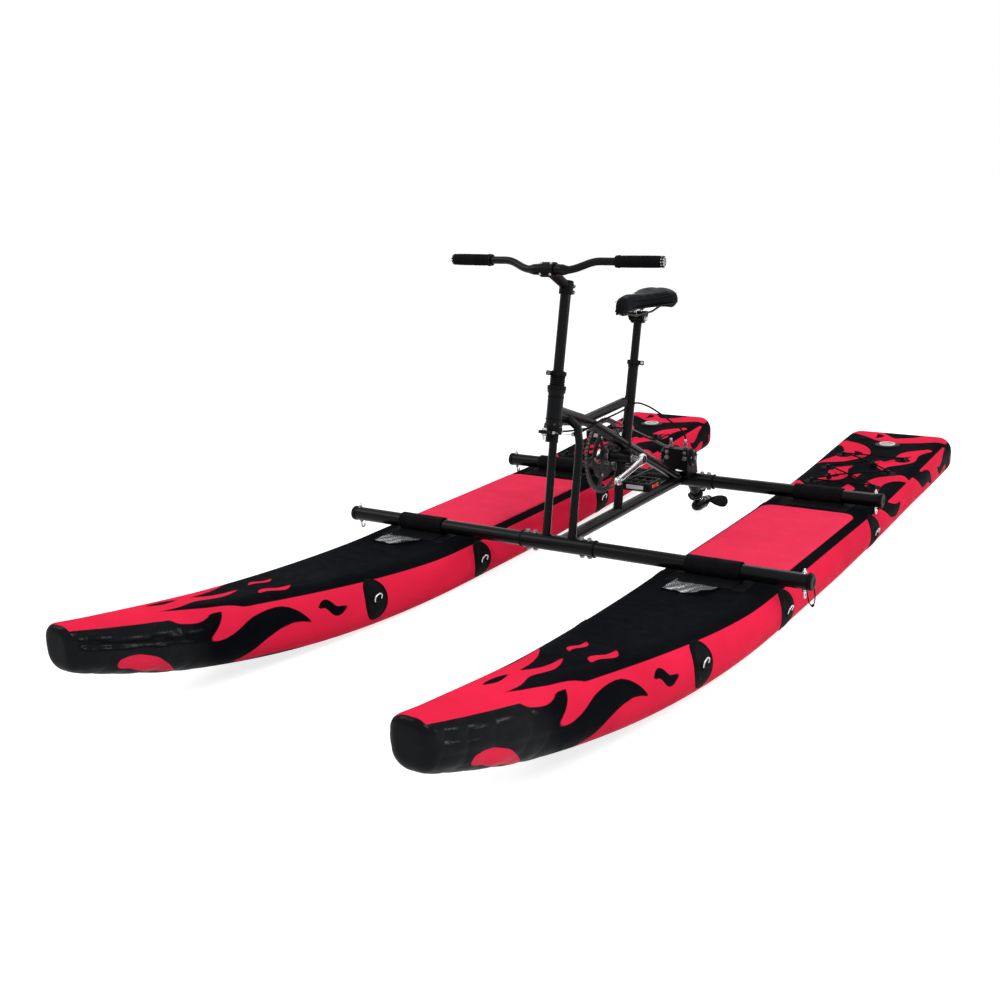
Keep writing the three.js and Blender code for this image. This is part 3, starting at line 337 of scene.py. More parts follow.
def tube(
    a: Array,
    b: Array,
    diameter: float,
    bore: float = 0.0,
    chamfer: float = 0.8,
    sides: int = 40,
) -> Shell:
    """A straight tube or bar between two points with broken edges.

    Args:
        a: The middle of one end.
        b: The middle of the other end.
        diameter: The outer diameter.
        bore: The diameter of the hole, or zero for a bar.
        chamfer: The width of the broken edges.
        sides: How many facets go round.

    Returns:
        The tube's surface.
    """
    a, b = np.asarray(a, float), np.asarray(b, float)
    length = float(np.linalg.norm(b - a))
    profile = chamfered(diameter / 2, length, min(chamfer, length / 3), bore / 2)
    return lathe(profile, a, b - a, sides, closed=bore > 0)


def both_sides(half: list, tip: float | None = None) -> list:
    """An outline from its upper half, mirrored below, with a point at the tip where it is given."""
    return [(u, -v) for u, v in half] + ([] if tip is None else [(tip, 0)]) + half[::-1]


def slab(outline: Array, low: float, high: float, edge: float, place: Array, u: Array, v: Array) -> Shell:
    """A flat plate with rounded edges: its outline is drawn in a little at both faces.

    Args:
        outline: The plate's outline as pairs along u and v, star-shaped round its middle.
        low: The height of one face along u crossed with v.
        high: The height of the other face.
        edge: The radius of its edges.
        place: The point that pairs of zero stand for.
        u: The direction of the first number.
        v: The direction of the second number.

    Returns:
        The plate's surface.
    """
    outline = np.asarray(outline, float)
    middle = outline.mean(0)
    reach = np.linalg.norm(outline - middle, axis=1, keepdims=True)
    away = (outline - middle) / np.maximum(reach, 1e-9)
    u, v = unit(u), unit(v)
    n = np.cross(u, v)
    heights = [low, low + 0.3 * edge, low + edge, high - edge, high - 0.3 * edge, high]
    insets = [edge, 0.3 * edge, 0, 0, 0.3 * edge, edge]
    rings = [
        np.asarray(place, float) + (outline - away * inset) @ np.stack([u, v]) + n * height
        for height, inset in zip(heights, insets)
    ]
    return skin(np.stack(rings))


def saddle_line(
    foot: Array,
    way: Array,
    radius: float,
    other: Array,
    other_way: Array,
    other_radius: float,
    steps: int = 72,
) -> Array:
    """The closed line where a round tube runs into another, found on each line along the first.

    Args:
        foot: A point of the first tube's axis inside the second tube.
        way: The direction in which the first tube leaves the second.
        radius: The first tube's radius.
        other: A point of the second tube's axis.
        other_way: The direction of the second tube's axis.
        other_radius: The second tube's radius.
        steps: How many points go round.

    Returns:
        The points of the line.
    """
    way, other_way = unit(way), unit(other_way)
    across = unit(np.cross(way, other_way))
    beside = np.cross(way, across)
    ring = circle(radius, steps)
    start = np.asarray(foot, float) + ring[:, :1] * across + ring[:, 1:] * beside
    gap = start - np.asarray(other, float)
    flat_gap = gap - (gap @ other_way)[:, None] * other_way
    flat_way = way - (way @ other_way) * other_way
    a = flat_way @ flat_way
    b = flat_gap @ flat_way
    c = np.maximum(b * b - a * ((flat_gap**2).sum(1) - other_radius**2), 0)
    return start + ((-b + np.sqrt(c)) / a)[:, None] * way


def bead(path: Array, up: Array, size: float = 3.4, ripple: float = 0.12) -> Shell:
    """A weld bead along a closed line, its width swelling and shrinking in small steps.

    Args:
        path: The line.
        up: A direction that is never along the line.
        size: The bead's mean width.
        ripple: The share by which the width changes.

    Returns:
        The bead's surface.
    """
    count = len(path)
    scale = 1 + ripple * np.cos(np.arange(count) * TAU / 3)
    section = circle(size / 2, 8)[None] * scale[:, None, None]
    return sweep(path, section, up, closed=True)


# Finishes: the materials of the boat.


class Grain(Enum):
    """The kinds of fine surface a finish can have."""

    PAINT = "paint"
    CAST = "cast"
    BRUSHED = "brushed"
    WEAVE = "weave"
    LEATHER = "leather"
    MOULDED = "moulded"
    FOAM = "foam"
    CLEAR = "clear"


class Wiring:
    """Adds nodes to a material and links them by name."""

    def __init__(self, material: bpy.types.Material) -> None:
        """Starts from the material's own shader and output."""
        material.use_nodes = True
        self.tree = material.node_tree
        self.shader = self.tree.nodes["Principled BSDF"]
        self.coordinates = self.add("ShaderNodeTexCoord")

    def add(self, kind: str, settings: dict | None = None, **inputs: object) -> bpy.types.Node:
        """A new node with its settings and inputs; an input that is a socket is linked.

        Args:
            kind: The node's type.
            settings: Properties of the node itself.
            **inputs: Values or sockets by input name, with an underscore for each space.

        Returns:
            The node.
        """
        node = self.tree.nodes.new(kind)
        for name, value in (settings or {}).items():
            setattr(node, name, value)
        for name, value in inputs.items():
            self.feed(node, name.replace("_", " "), value)
        return node

    def connect(self, socket: Socket, value: object) -> None:
        """Sets a socket's value, or links it where the value is a socket too."""
        if isinstance(value, Socket):
            self.tree.links.new(value, socket)
        else:
            socket.default_value = value

    def feed(self, node: bpy.types.Node, name: str, value: object) -> None:
        """Sets or links one input of a node by its name."""
        self.connect(next(s for s in node.inputs if s.name == name and s.enabled), value)

    def surface(self, **inputs: object) -> None:
        """Sets or links inputs of the material's shader, with an underscore for each space."""
        for name, value in inputs.items():
            self.feed(self.shader, name.replace("_", " "), value)

    def noise(self, scale: float, detail: float = 3.0, vector: object = None) -> Socket:
        """Noise on object coordinates, as its factor."""
        vector = vector or self.coordinates.outputs["Object"]
        return self.add("ShaderNodeTexNoise", Vector=vector, Scale=scale, Detail=detail).outputs[0]

    def spread(
        self,
        value: object,
        low: float,
        high: float,
        low_in: float = 0.3,
        high_in: float = 0.7,
    ) -> Socket:
        """A value carried from one range to another, clamped.

        Args:
            value: The value's socket.
            low: What low_in becomes.
            high: What high_in becomes.
            low_in: The start of the first range.
            high_in: Its end.

        Returns:
            The socket of the new value.
        """
        node = self.add("ShaderNodeMapRange", Value=value)
        for name, number in (
            ("From Min", low_in), ("From Max", high_in), ("To Min", low), ("To Max", high)
        ):
            self.feed(node, name, number)
        return node.outputs[0]

    def blend(self, factor: object, first: object, second: object) -> Socket:
        """A mix of two colours by a factor.

        Args:
            factor: The share of the second colour.
            first: The first colour or its socket.
            second: The second colour or its socket.

        Returns:
            The socket of the mix.
        """
        node = self.add("ShaderNodeMix", {"data_type": "RGBA"})
        self.feed(node, "Factor", factor)
        for name, value in (("A", first), ("B", second)):
            self.connect(next(s for s in node.inputs if s.name == name and s.type == "RGBA"), value)
        return next(s for s in node.outputs if s.type == "RGBA")

    def math(self, operation: str, first: object, second: object = 0.0) -> Socket:
        """A sum on two values.

        Args:
            operation: The kind of sum.
            first: A value or socket.
            second: A value or socket.

        Returns:
            The socket of the result.
        """
        node = self.add("ShaderNodeMath", {"operation": operation})
        for socket, value in zip(node.inputs, (first, second)):
            self.connect(socket, value)
        return node.outputs[0]

    def attribute(self, name: str) -> Socket:
        """A value that the mesh carries at its points."""
        return self.add("ShaderNodeAttribute", {"attribute_name": name}).outputs["Fac"]

    def bump(self, height: object, strength: float, distance: float, normal: object = None) -> Socket:
        """A bump from a height, on top of another normal where it is given.

        Args:
            height: The height's socket.
            strength: The share of the bump that shows.
            distance: The height of one, in metres.
            normal: The normal below, if there is one.

        Returns:
            The socket of the normal.
        """
        node = self.add("ShaderNodeBump", Height=height, Strength=strength, Distance=distance)
        if normal is not None:
            self.feed(node, "Normal", normal)
        return node.outputs[0]


def shade(colour: Triple, factor: float) -> tuple[float, float, float, float]:
    """A colour made darker or lighter by a factor, with full alpha."""
    return tuple(min(1.0, c * factor) for c in colour) + (1.0,)


@dataclass(frozen=True)
class Finish:
    """A surface finish with fine grain, flecks and soft patches of tone and roughness.

    Fields:
        name: The material's name.
        colour: Linear base colour.
        roughness: The mean roughness.
        grain: The kind of fine surface.
        size: The number of grains in a metre.
        depth: The height of the grain in metres.
        tone: How far the colour changes from place to place.
        specular: The specular level, less than a half where paint soaks up light.
        metallic: How far it is bare metal.
        coat: The weight of a clear coat.
    """

    name: str
    colour: Triple
    roughness: float
    grain: Grain = Grain.PAINT
    size: float = 700.0
    depth: float = 0.00005
    tone: float = 0.12
    specular: float = 0.5
    metallic: float = 0.0
    coat: float = 0.0

    def material(self) -> bpy.types.Material:
        """The finish's material, made once.

        Returns:
            The new material, or the one of that name.
        """
        found = bpy.data.materials.get(self.name)
        if found:
            return found
        made = bpy.data.materials.new(self.name)
        made.diffuse_color = self.colour + (1.0,)
        self.wire_up(Wiring(made))
        return made

    def wire_up(self, nodes: Wiring) -> None:
        """Adds the nodes of the finish to its new material.

        Args:
            nodes: The material's wiring.
        """
        patches = nodes.noise(9.0, 5.0)
        specks = nodes.noise(self.size, 4.0)
        tone = nodes.blend(
            nodes.spread(patches, 0.0, 1.0), shade(self.colour, 1 - self.tone),
            shade(self.colour, 1 + self.tone),
        )
        flecked = nodes.blend(nodes.spread(specks, 0.0, 0.35), tone, shade(self.colour, 1 + 2 * self.tone))
        low, high = max(0.04, self.roughness * 0.82), min(1.0, self.roughness * 1.2)
        nodes.surface(
            Base_Color=flecked,
            Roughness=nodes.spread(nodes.noise(24.0, 6.0), low, high),
            Metallic=self.metallic,
            Specular_IOR_Level=self.specular,
            Normal=nodes.bump(self.height(nodes, specks), 0.6, self.depth),
        )
        if self.coat:
            nodes.surface(Coat_Weight=self.coat, Coat_Roughness=0.12)
        if self.grain is Grain.CLEAR:
            nodes.surface(Transmission_Weight=0.9, IOR=1.5)

    def height(self, nodes: Wiring, specks: Socket) -> Socket:
        """The height of the grain: woven bands, cells, brush marks or fine noise.

        Args:
            nodes: The material's wiring.
            specks: Fine noise that the material already has.

        Returns:
            The socket of the height.
        """
        if self.grain is Grain.WEAVE:
            bands = [
                nodes.add(
                    "ShaderNodeTexWave",
                    {"bands_direction": way},
                    Vector=nodes.coordinates.outputs["Object"],
                    Scale=self.size / 6,
                    Distortion=0.4,
                ).outputs["Fac"]
                for way in ("X", "Y", "Z")
            ]
            return nodes.math("MAXIMUM", nodes.math("MAXIMUM", bands[0], bands[1]), bands[2])
        if self.grain in (Grain.LEATHER, Grain.FOAM):
            cells = nodes.add(
                "ShaderNodeTexVoronoi", Vector=nodes.coordinates.outputs["Object"], Scale=self.size
            )
            return cells.outputs["Distance"]
        if self.grain is Grain.BRUSHED:
            stretched = nodes.add(
                "ShaderNodeMapping", Vector=nodes.coordinates.outputs["Object"], Scale=(1.0, 0.12, 1.0)
            )
            return nodes.noise(self.size, 2.0, stretched.outputs[0])
        return specks


@dataclass(frozen=True)
class HullFinish(Finish):
    """Coated hull fabric in two colours, parted by the signed distance that the mesh carries."""

    dark: Triple = (0.011, 0.012, 0.014)
    edge_width: float = 0.9

    def wire_up(self, nodes: Wiring) -> None:
        """Adds the hull's nodes: red where the paint distance is positive and near black elsewhere.

        Args:
            nodes: The material's wiring.
        """
        cloth = nodes.noise(1300.0, 2.0)
        clouds = nodes.spread(nodes.noise(4.0, 5.0), 0.0, 1.0)
        red = nodes.blend(clouds, shade(self.colour, 0.9), shade(self.colour, 1.1))
        dark = nodes.blend(clouds, shade(self.dark, 0.8), shade(self.dark, 1.5))
        scuffs = nodes.spread(nodes.noise(55.0, 8.0), 0.0, 0.3, 0.62, 0.8)
        dusty = nodes.blend(scuffs, dark, (0.022, 0.023, 0.026, 1.0))
        paint = nodes.spread(nodes.attribute("paint"), 0.0, 1.0, -self.edge_width, self.edge_width)
        matt = nodes.spread(nodes.noise(30.0, 5.0), 0.4, 0.56)
        fabric = nodes.bump(cloth, 0.35, self.depth)
        nodes.surface(
            Base_Color=nodes.blend(paint, dusty, red),
            Roughness=nodes.math("ADD", matt, nodes.math("MULTIPLY", nodes.attribute("deck"), 0.2)),
            Specular_IOR_Level=self.specular,
            Coat_Weight=nodes.math("MULTIPLY", nodes.attribute("cap"), self.coat),
            Coat_Roughness=0.2,
            Normal=nodes.bump(nodes.attribute("tape"), 1.0, 0.0008, fabric),
        )


HULL = HullFinish(
    "hull_fabric", (0.84, 0.02, 0.066), 0.45, depth=0.00012, coat=0.14, specular=0.006,
    dark=(0.0026, 0.0032, 0.0044),
)
BLACK_ALLOY = Finish("satin_black_tube", (0.003, 0.0034, 0.0042), 0.25, size=900, specular=0.1)
CAST_BLACK = Finish("cast_black", (0.004, 0.0043, 0.005), 0.4, Grain.CAST, 450, 0.00012, 0.2, 0.06)
WELD = Finish("painted_weld", (0.004, 0.0043, 0.005), 0.4, Grain.CAST, 350, 0.0002, 0.15, 0.06)
BRIGHT = Finish(
    "forged_bright_alloy", (0.72, 0.73, 0.74), 0.2, Grain.BRUSHED, 1500, 0.00002, 0.05, metallic=0.95
)
STEEL = Finish("bright_steel", (0.5, 0.505, 0.51), 0.26, Grain.BRUSHED, 1100, 0.00003, metallic=1.0)
DARK_STEEL = Finish("blacked_steel", (0.014, 0.0145, 0.016), 0.34, Grain.BRUSHED, 1100, 0.00003, 0.15, 0.25)
GREY_STEEL = Finish("grey_steel", (0.22, 0.225, 0.23), 0.38, Grain.CAST, 800, tone=0.2, metallic=1.0)
CHAIN_STEEL = Finish("roller_chain_steel", (0.09, 0.088, 0.085), 0.36, Grain.CAST, tone=0.3, metallic=1.0)
PLASTIC = Finish("moulded_black", (0.004, 0.0042, 0.0048), 0.42, Grain.MOULDED, 1400, 0.00006, 0.1, 0.05)
RUBBER = Finish("black_rubber", (0.0045, 0.0047, 0.0054), 0.66, Grain.MOULDED, 900, 0.0001, 0.15, 0.03)
WEBBING = Finish("black_webbing", (0.0045, 0.0047, 0.0055), 0.75, Grain.WEAVE, 2600, 0.0003, 0.2, 0.04)
PATCH = Finish("patch_fabric", (0.004, 0.0042, 0.005), 0.5, Grain.MOULDED, 1500, 0.00008, specular=0.012)
THREAD = Finish("thread", (0.022, 0.022, 0.025), 0.7, Grain.WEAVE, 3000, 0.0001, 0.1, 0.04)
FOAM_RED = Finish("deck_foam", (0.86, 0.034, 0.092), 0.8, Grain.FOAM, 1500, 0.0003, 0.05, 0.03)
CORD = Finish("braided_cord", (0.005, 0.005, 0.0056), 0.75, Grain.WEAVE, 2400, 0.0003, 0.25, 0.04)
SADDLE = Finish(
    "stitched_saddle_skin", (0.0065, 0.0072, 0.0088), 0.42, Grain.LEATHER, 850, 0.00014, 0.1, 0.02
)
CLEAR = Finish("clear_vinyl", (0.82, 0.84, 0.86), 0.11, Grain.CLEAR, 240, 0.0005, 0.04)
WHITE = Finish("valve_white", (0.68, 0.68, 0.67), 0.4, Grain.MOULDED, 900, 0.00004, 0.05)
REFLECT_WHITE = Finish(
    "reflector_white", (0.42, 0.44, 0.45), 0.12, Grain.LEATHER, 420, 0.0006, 0.08, coat=0.6
)
REFLECT_RED = Finish("reflector_red", (0.55, 0.03, 0.01), 0.14, Grain.LEATHER, 420, 0.0006, 0.1, coat=0.6)


# Objects: how a shell becomes a piece of the scene.


def write_mesh(shell: Shell, name: str, sharp: float, merge: bool) -> bpy.types.Mesh:
    """A Blender mesh in metres from a shell, with its doubles merged and its normals outwards.

    Args:
        shell: The surface in millimetres.
        name: The mesh's name.
        sharp: The angle in degrees past which an edge stays sharp.
        merge: Whether close points are merged; point values are written only where they aren't.

    Returns:
        The mesh.
    """
    mesh = bpy.data.meshes.new(name)
    mesh.from_pydata(shell.points * MM, [], shell.quads.tolist() + shell.tris.tolist())
    for key, value in shell.values.items():
        layer = mesh.attributes.new(key, "FLOAT", "POINT")
        layer.data.foreach_set("value", value.astype(np.float32))
    work = bmesh.new()
    work.from_mesh(mesh)
    if merge:
        bmesh.ops.remove_doubles(work, verts=work.verts, dist=2e-6)
    bmesh.ops.recalc_face_normals(work, faces=work.faces)
    work.to_mesh(mesh)
    work.free()
    mesh.polygons.foreach_set("use_smooth", np.ones(len(mesh.polygons), bool))
    mesh.set_sharp_from_angle(angle=math.radians(sharp))
    mesh.update()
    return mesh


def place(
    shell: Shell,
    name: str,
    finish: Finish,
    body: str,
    slot: str | None = None,
    replaces: tuple[str, ...] = (),
    sharp: float = 38.0,
    merge: bool = True,
) -> bpy.types.Object:
    """Makes a piece of the boat from a shell and lets it ride on a body.

    Args:
        shell: The surface in millimetres.
        name: The piece's name.
        finish: Its finish.
        body: The body that it moves with, or an empty text for a piece that is left unattached here.
        slot: Not used.
        replaces: The nodes that it stands for.
        sharp: The angle in degrees past which an edge stays sharp.
        merge: Whether close points are merged.

    Returns:
        The object.
    """
    thing = bpy.data.objects.new(name, write_mesh(shell, name, sharp, merge))
    bpy.context.scene.collection.objects.link(thing)
    thing.data.materials.append(finish.material())
    if body:
        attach(thing, body)
    if replaces:
        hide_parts(*replaces)
    LOG.info("%s: %d faces on %s", name, len(thing.data.polygons), body or "a blend")
    return thing


def dress(node: str, finish: Finish, bevel: float = 0.6) -> None:
    """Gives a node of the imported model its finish, joins its loose faces and breaks its edges.

    Args:
        node: The node's name.
        finish: Its finish.
        bevel: The width of the broken edges in millimetres, or zero for none.
    """
    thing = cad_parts[node]
    mesh = thing.data
    mesh.materials.clear()
    mesh.materials.append(finish.material())
    mesh.polygons.foreach_set("use_smooth", np.ones(len(mesh.polygons), bool))
    weld = thing.modifiers.new("join", "WELD")
    weld.merge_threshold = 2e-5
    if bevel:
        edge = thing.modifiers.new("edge", "BEVEL")
        edge.width = bevel * MM
        edge.segments = 2
        edge.limit_method = "ANGLE"
        edge.angle_limit = math.radians(40)
        edge.use_clamp_overlap = True
    even = thing.modifiers.new("even", "WEIGHTED_NORMAL")
    even.keep_sharp = True
    LOG.info("%s: dressed as %s", node, finish.name)


def spokes(count: int, first: float) -> list[Array]:
    """Directions across X, evenly spaced from a first angle in degrees."""
    angles = (math.radians(first + 360 * k / count) for k in range(count))
    return [np.array([0, math.cos(a), math.sin(a)]) for a in angles]


def hexagon(foot: Array, axis: Array, width: float, height: float) -> Shell:
    """A hexagonal nut or bolt head with its corners turned off.

    Args:
        foot: The middle of its base.
        axis: The direction away from the base.
        width: Its width across flats.
        height: Its height.

    Returns:
        The nut's surface.
    """
    r = width / 2 / math.cos(math.pi / 6)
    profile = [
        (0, 0), (r * 0.97, 0), (r, height * 0.12), (r, height * 0.84), (r * 0.9, height), (0, height)
    ]
    return lathe(profile, foot, axis, 6)


def cap_screw(foot: Array, axis: Array, diameter: float, height: float) -> Shell:
    """A round screw head with a hexagonal socket.

    Args:
        foot: The middle of its base.
        axis: The direction away from the base.
        diameter: Its diameter.
        height: Its height.

    Returns:
        The head's surface.
    """
    r = diameter / 2
    profile = [
        (0, 0), (r, 0), (r, height * 0.8), (r * 0.9, height), (r * 0.55, height), (r * 0.5, height * 0.45),
        (0, height * 0.45),
    ]
    return lathe(profile, foot, axis, 24)


# Hulls: the two inflatable pontoons and what is welded to them.


def soft_least(a: Array, b: Array, reach: float) -> Array:
    """The lesser of two distances, rounded where they are nearly equal."""
    h = np.maximum(reach - np.abs(a - b), 0) / reach
    return np.minimum(a, b) - h * h * reach / 4


@dataclass
class Stroke:
    """A brush stroke with a width that changes along a smooth spine, as in painted flames."""

    spine: list
    widths: list
    samples: int = 46

    def distance(self, y: Array, s: Array) -> Array:
        """The signed distance from places on the hull, negative inside the stroke.

        Args:
            y: Places along the hull.
            s: Places round the section.

        Returns:
            The distances, with the same shape.
        """
        path = smooth_path(self.spine, self.samples)
        width = np.interp(np.linspace(0, 1, self.samples), np.linspace(0, 1, len(self.widths)), self.widths)
        gap = np.hypot(y[..., None] - path[:, 0], s[..., None] - path[:, 1]) - width
        return gap.min(-1)


@dataclass
class Hull:
    """One inflatable pontoon and what is welded to it."""

    length: float = 3300.0
    width: float = 415.0
    thickness: float = 150.0
    nose_width: float = 100.0
    nose_round: float = 24.0
    width_power: float = 0.95
    width_run: float = 1480.0
    bow_flat: float = 320.0
    bow_bottom: tuple[float, float] = (204.0, 2.8)
    bow_top: tuple[float, float] = (170.0, 1.57)
    stern_flat: float = 280.0
    stern_bottom: tuple[float, float] = (60.0, 1.2)
    stern_top_start: float = 780.0
    stern_top: tuple[float, float] = (45.0, 1.1)
    stern_corner: float = 50.0
    stern_edge: float = 32.0
    stern_share: float = 0.72
    round_share: float = 0.94
    boxy_from: float = -1060.0
    boxy_run: float = 460.0
    boxy_share: float = 0.78
    stern_boxy_from: float = 1000.0
    stern_boxy_run: float = 560.0
    bulge_most: float = 4.5
    paint_drop: float = 53.0
    side_depth: float = 205.0
    deck_red_from: float = -1468.0
    nose_black_to: float = -1385.0
    end_black_from: float = 1535.0
    deck_melt: float = 16.0
    side_melt: float = 34.0
    gloss_to: float = -1330.0
    gloss_run: float = 80.0
    station: float = 8.5
    fine_to: float = -1300.0
    fine_station: float = 3.6
    around: int = 124

    @property
    def half(self) -> float:
        """Half of the hull's length."""
        return self.length / 2

    def sizes(self, y: Array) -> tuple[Array, Array, Array, Array]:
        """The section's half width, half height, middle height and corner radius at each y.

        The bottom and the top rise towards the ends as powers of the distance, the width follows a
        sine, rounded ends draw both in, and the corners are tighter at the nose and the stern.

        Args:
            y: Places along the hull.

        Returns:
            The four sizes, each with the shape of y.
        """
        y = np.asarray(y, float)
        bow = np.maximum(0, -y - self.bow_flat) / (self.half - self.bow_flat)
        stern = np.maximum(0, y - self.stern_flat) / (self.half - self.stern_flat)
        lift = np.maximum(0, y - self.stern_top_start) / (self.half - self.stern_top_start)
        bottom = (
            self.bow_bottom[0] * bow ** self.bow_bottom[1]
            + self.stern_bottom[0] * stern ** self.stern_bottom[1]
        )
        top = (
            self.thickness + self.bow_top[0] * bow ** self.bow_top[1]
            + self.stern_top[0] * lift ** self.stern_top[1]
        )
        widen = np.minimum(1, (y + self.half) / self.width_run)
        swell = np.sin(math.pi / 2 * np.maximum(widen, 0)) ** self.width_power
        half_width = self.nose_width / 2 + (self.width - self.nose_width) / 2 * swell

        def inset(distance: Array, radius: float) -> Array:
            """How far a rounded end draws in at a distance from its tip."""
            reach = np.clip(1 - distance / radius, 0, 1)
            return radius * (1 - np.sqrt(1 - reach * reach))

        nose = inset(y + self.half, self.nose_round)
        narrow = nose + inset(self.half - y, self.stern_corner)
        flatten = nose + inset(self.half - y, self.stern_edge)
        w, h = half_width - narrow, (top - bottom) / 2 - flatten
        share = self.round_share
        for run, end_share in (
            ((self.boxy_from - y) / self.boxy_run, self.boxy_share),
            ((y - self.stern_boxy_from) / self.stern_boxy_run, self.stern_share),
        ):
            run = np.clip(run, 0, 1)
            share = share + (end_share - self.round_share) * run * run * (3 - 2 * run)
        return w, h, (top + bottom) / 2, share * np.minimum(w, h)

    def on(self, y: Array, s: Array, lift: float | Array = 0.0) -> tuple[Array, Array]:
        """Points on the skin, by place along the hull and by distance round it from the deck's middle.

        Args:
            y: Places along the hull.
            s: Distances round the section, positive towards +X.
            lift: How far the points stand off the skin.

        Returns:
            The points, with X from the hull's own middle, and the outward normals.
        """
        y, s = np.broadcast_arrays(np.asarray(y, float), np.asarray(s, float))
        w, h, middle, r = self.sizes(y)
        flat, bend, wall = w - r, r * math.pi / 2, 2 * (h - r)
        t = np.abs(s)
        upper = (t - flat) / r
        lower = (t - flat - bend - wall) / r
        zones = [t <= flat, t <= flat + bend, t <= flat + bend + wall, t <= flat + 2 * bend + wall]
        x = np.select(
            zones, [t, flat + r * np.sin(upper), w, flat + r * np.cos(lower)],
            flat - (t - flat - 2 * bend - wall),
        )
        z = np.select(
            zones, [h, h - r + r * np.cos(upper), h - r - (t - flat - bend), r - h - r * np.sin(lower)], -h
        )
        zero, one = np.zeros_like(t), np.ones_like(t)
        nx = np.select(zones, [zero, np.sin(upper), one, np.cos(lower)], zero)
        nz = np.select(zones, [one, np.cos(upper), zero, -np.sin(lower)], -one)
        sign = np.where(s < 0, -1.0, 1.0)
        normal = coords(nx * sign, zero, nz)
        place_at = coords(x * sign, y, z + middle)
        return place_at + normal * np.asarray(lift, float)[..., None], normal

    def girth(self, y: Array) -> Array:
        """Half of the way round the section at each y."""
        w, h, _, r = self.sizes(y)
        return 2 * (w - r) + r * math.pi + 2 * (h - r)

    def deck_edge(self, y: Array) -> Array:
        """Where the deck's paint ends, as a distance round the section."""
        w, _, _, r = self.sizes(y)
        return w - r + np.minimum(self.paint_drop, 0.74 * r)

    def paint(self, y: Array, s: Array) -> Array:
        """The signed distance to the edge of the red paint, positive where it is red.

        The deck is black with red flames from the nose and red fields at the stern, and the sides are
        red with black flames from the nose and a black stern end. The stroke places are listed one by one.

        Args:
            y: Places along the hull.
            s: Distances round the section.

        Returns:
            The signed distances in millimetres.
        """
        q = np.abs(s) - self.deck_edge(y)
        deck_red = y - self.deck_red_from + 18 * np.sin(s / 24.0)
        for stroke in DECK_FLAMES:
            deck_red = soft_least(deck_red, stroke.distance(y, s), self.deck_melt)
        for stroke in DECK_SPARKS:
            deck_red = np.minimum(deck_red, stroke.distance(y, s))
        fields = np.full_like(y, 60.0)
        stern = y > 600
        for stroke in STERN_FIELDS:
            fields[stern] = soft_least(fields[stern], stroke.distance(y[stern], s[stern]), self.deck_melt)
        for stroke in STERN_CUTS:
            fields[stern] = np.maximum(fields[stern], -stroke.distance(y[stern], s[stern]))
        deck_red = np.minimum(deck_red, fields)
        side_black = y - self.nose_black_to
        for stroke in SIDE_FLAMES:
            side_black = soft_least(side_black, stroke.distance(y, q), self.side_melt)
        for stroke in SIDE_SPARKS:
            side_black = np.minimum(side_black, stroke.distance(y, q))
        for stroke in SIDE_DROPS:
            side_black = np.maximum(side_black, -stroke.distance(y, q))
        stern_end = np.maximum(self.end_black_from + 12 * np.sin(q / 19) - y, -END_STRIPE.distance(y, q))
        side_red = np.minimum(np.minimum(side_black, stern_end), self.side_depth - q)
        return np.minimum(
            np.maximum(np.minimum(-q, -deck_red), np.minimum(q, side_red)), y + self.half - 13
        )

    def shell(self) -> Shell:
        """The hull's skin as rings of even steps round the section, closed by shrinking rings.

        Returns:
            The skin with its point values: paint, cap for gloss, tape for the raised edges and deck.
        """
        bend = np.linspace(0, math.pi / 2, 9)[:-1]
        nose = -self.half + self.nose_round * (1 - np.cos(bend))
        tail = self.half - self.stern_corner * (1 - np.cos(bend))
        first, last = -self.half + self.nose_round, self.half - self.stern_corner
        fine = np.linspace(first, self.fine_to, int((self.fine_to - first) / self.fine_station))[:-1]
        coarse = np.linspace(self.fine_to, last, int((last - self.fine_to) / self.station))
        y = np.concatenate([nose, fine, coarse, tail[::-1]])
        share = np.linspace(-1, 1, self.around, endpoint=False) + 1 / self.around
        s = share[None, :] * self.girth(y)[:, None]
        rows = np.broadcast_to(y[:, None], s.shape)
        edge = np.abs(s) - self.deck_edge(rows)
        gloss = np.clip((self.gloss_to + 0.3 * np.abs(s) - rows) / self.gloss_run, 0, 1)
        cap = gloss * np.clip((edge + 4) / 6, 0, 1)
        cap = np.maximum(cap, np.clip((-self.half + 16 - rows) / 6, 0, 1))
        away = np.clip((rows + self.half) / 30, 0, 1)
        points, _ = self.on(rows, s, cap * away * self.folds(rows, s) + self.bulge(rows, s) * away)
        ends = []
        for row in (0, -1):
            centre = points[row].mean(0)
            ends.append([centre + (points[row] - centre) * k for k in (0.75, 0.5, 0.25, 0.02)])
        grid = np.concatenate([np.stack(ends[0][::-1]), points, np.stack(ends[1])])
        made = skin(grid)
        tape = np.clip(edge / 3 + 0.5, 0, 1) + np.clip((edge - self.side_depth) / 3 + 0.5, 0, 1)
        values = {"paint": self.paint(rows, s), "cap": cap, "tape": tape, "deck": np.clip(-edge / 4, 0, 1)}
        for key, value in values.items():
            first, last = np.tile(value[0], (4, 1)), np.tile(value[-1], (4, 1))
            if key == "paint":
                first, last = np.full_like(first, -30.0), np.full_like(last, -30.0)
            if key == "cap":
                first = np.ones_like(first)
            full = np.concatenate([first, value, last]).ravel()
            made.values[key] = np.concatenate([full, full[:1], full[-1:]])
        return made

    def bulge(self, y: Array, s: Array) -> Array:
        """How far the air pushes the flat walls of the nose out: a half sine over each wall's height.

        Args:
            y: Places along the hull.
            s: Distances round the section.

        Returns:
            The heights, with the same shape.
        """
        w, h, _, r = self.sizes(y)
        wall = 2 * (h - r)
        at = np.clip((np.abs(s) - (w - r) - r * math.pi / 2) / np.maximum(wall, 1), 0, 1)
        return self.bulge_most * np.sin(math.pi * at) * np.clip((self.boxy_from - y) / self.boxy_run, 0, 1)

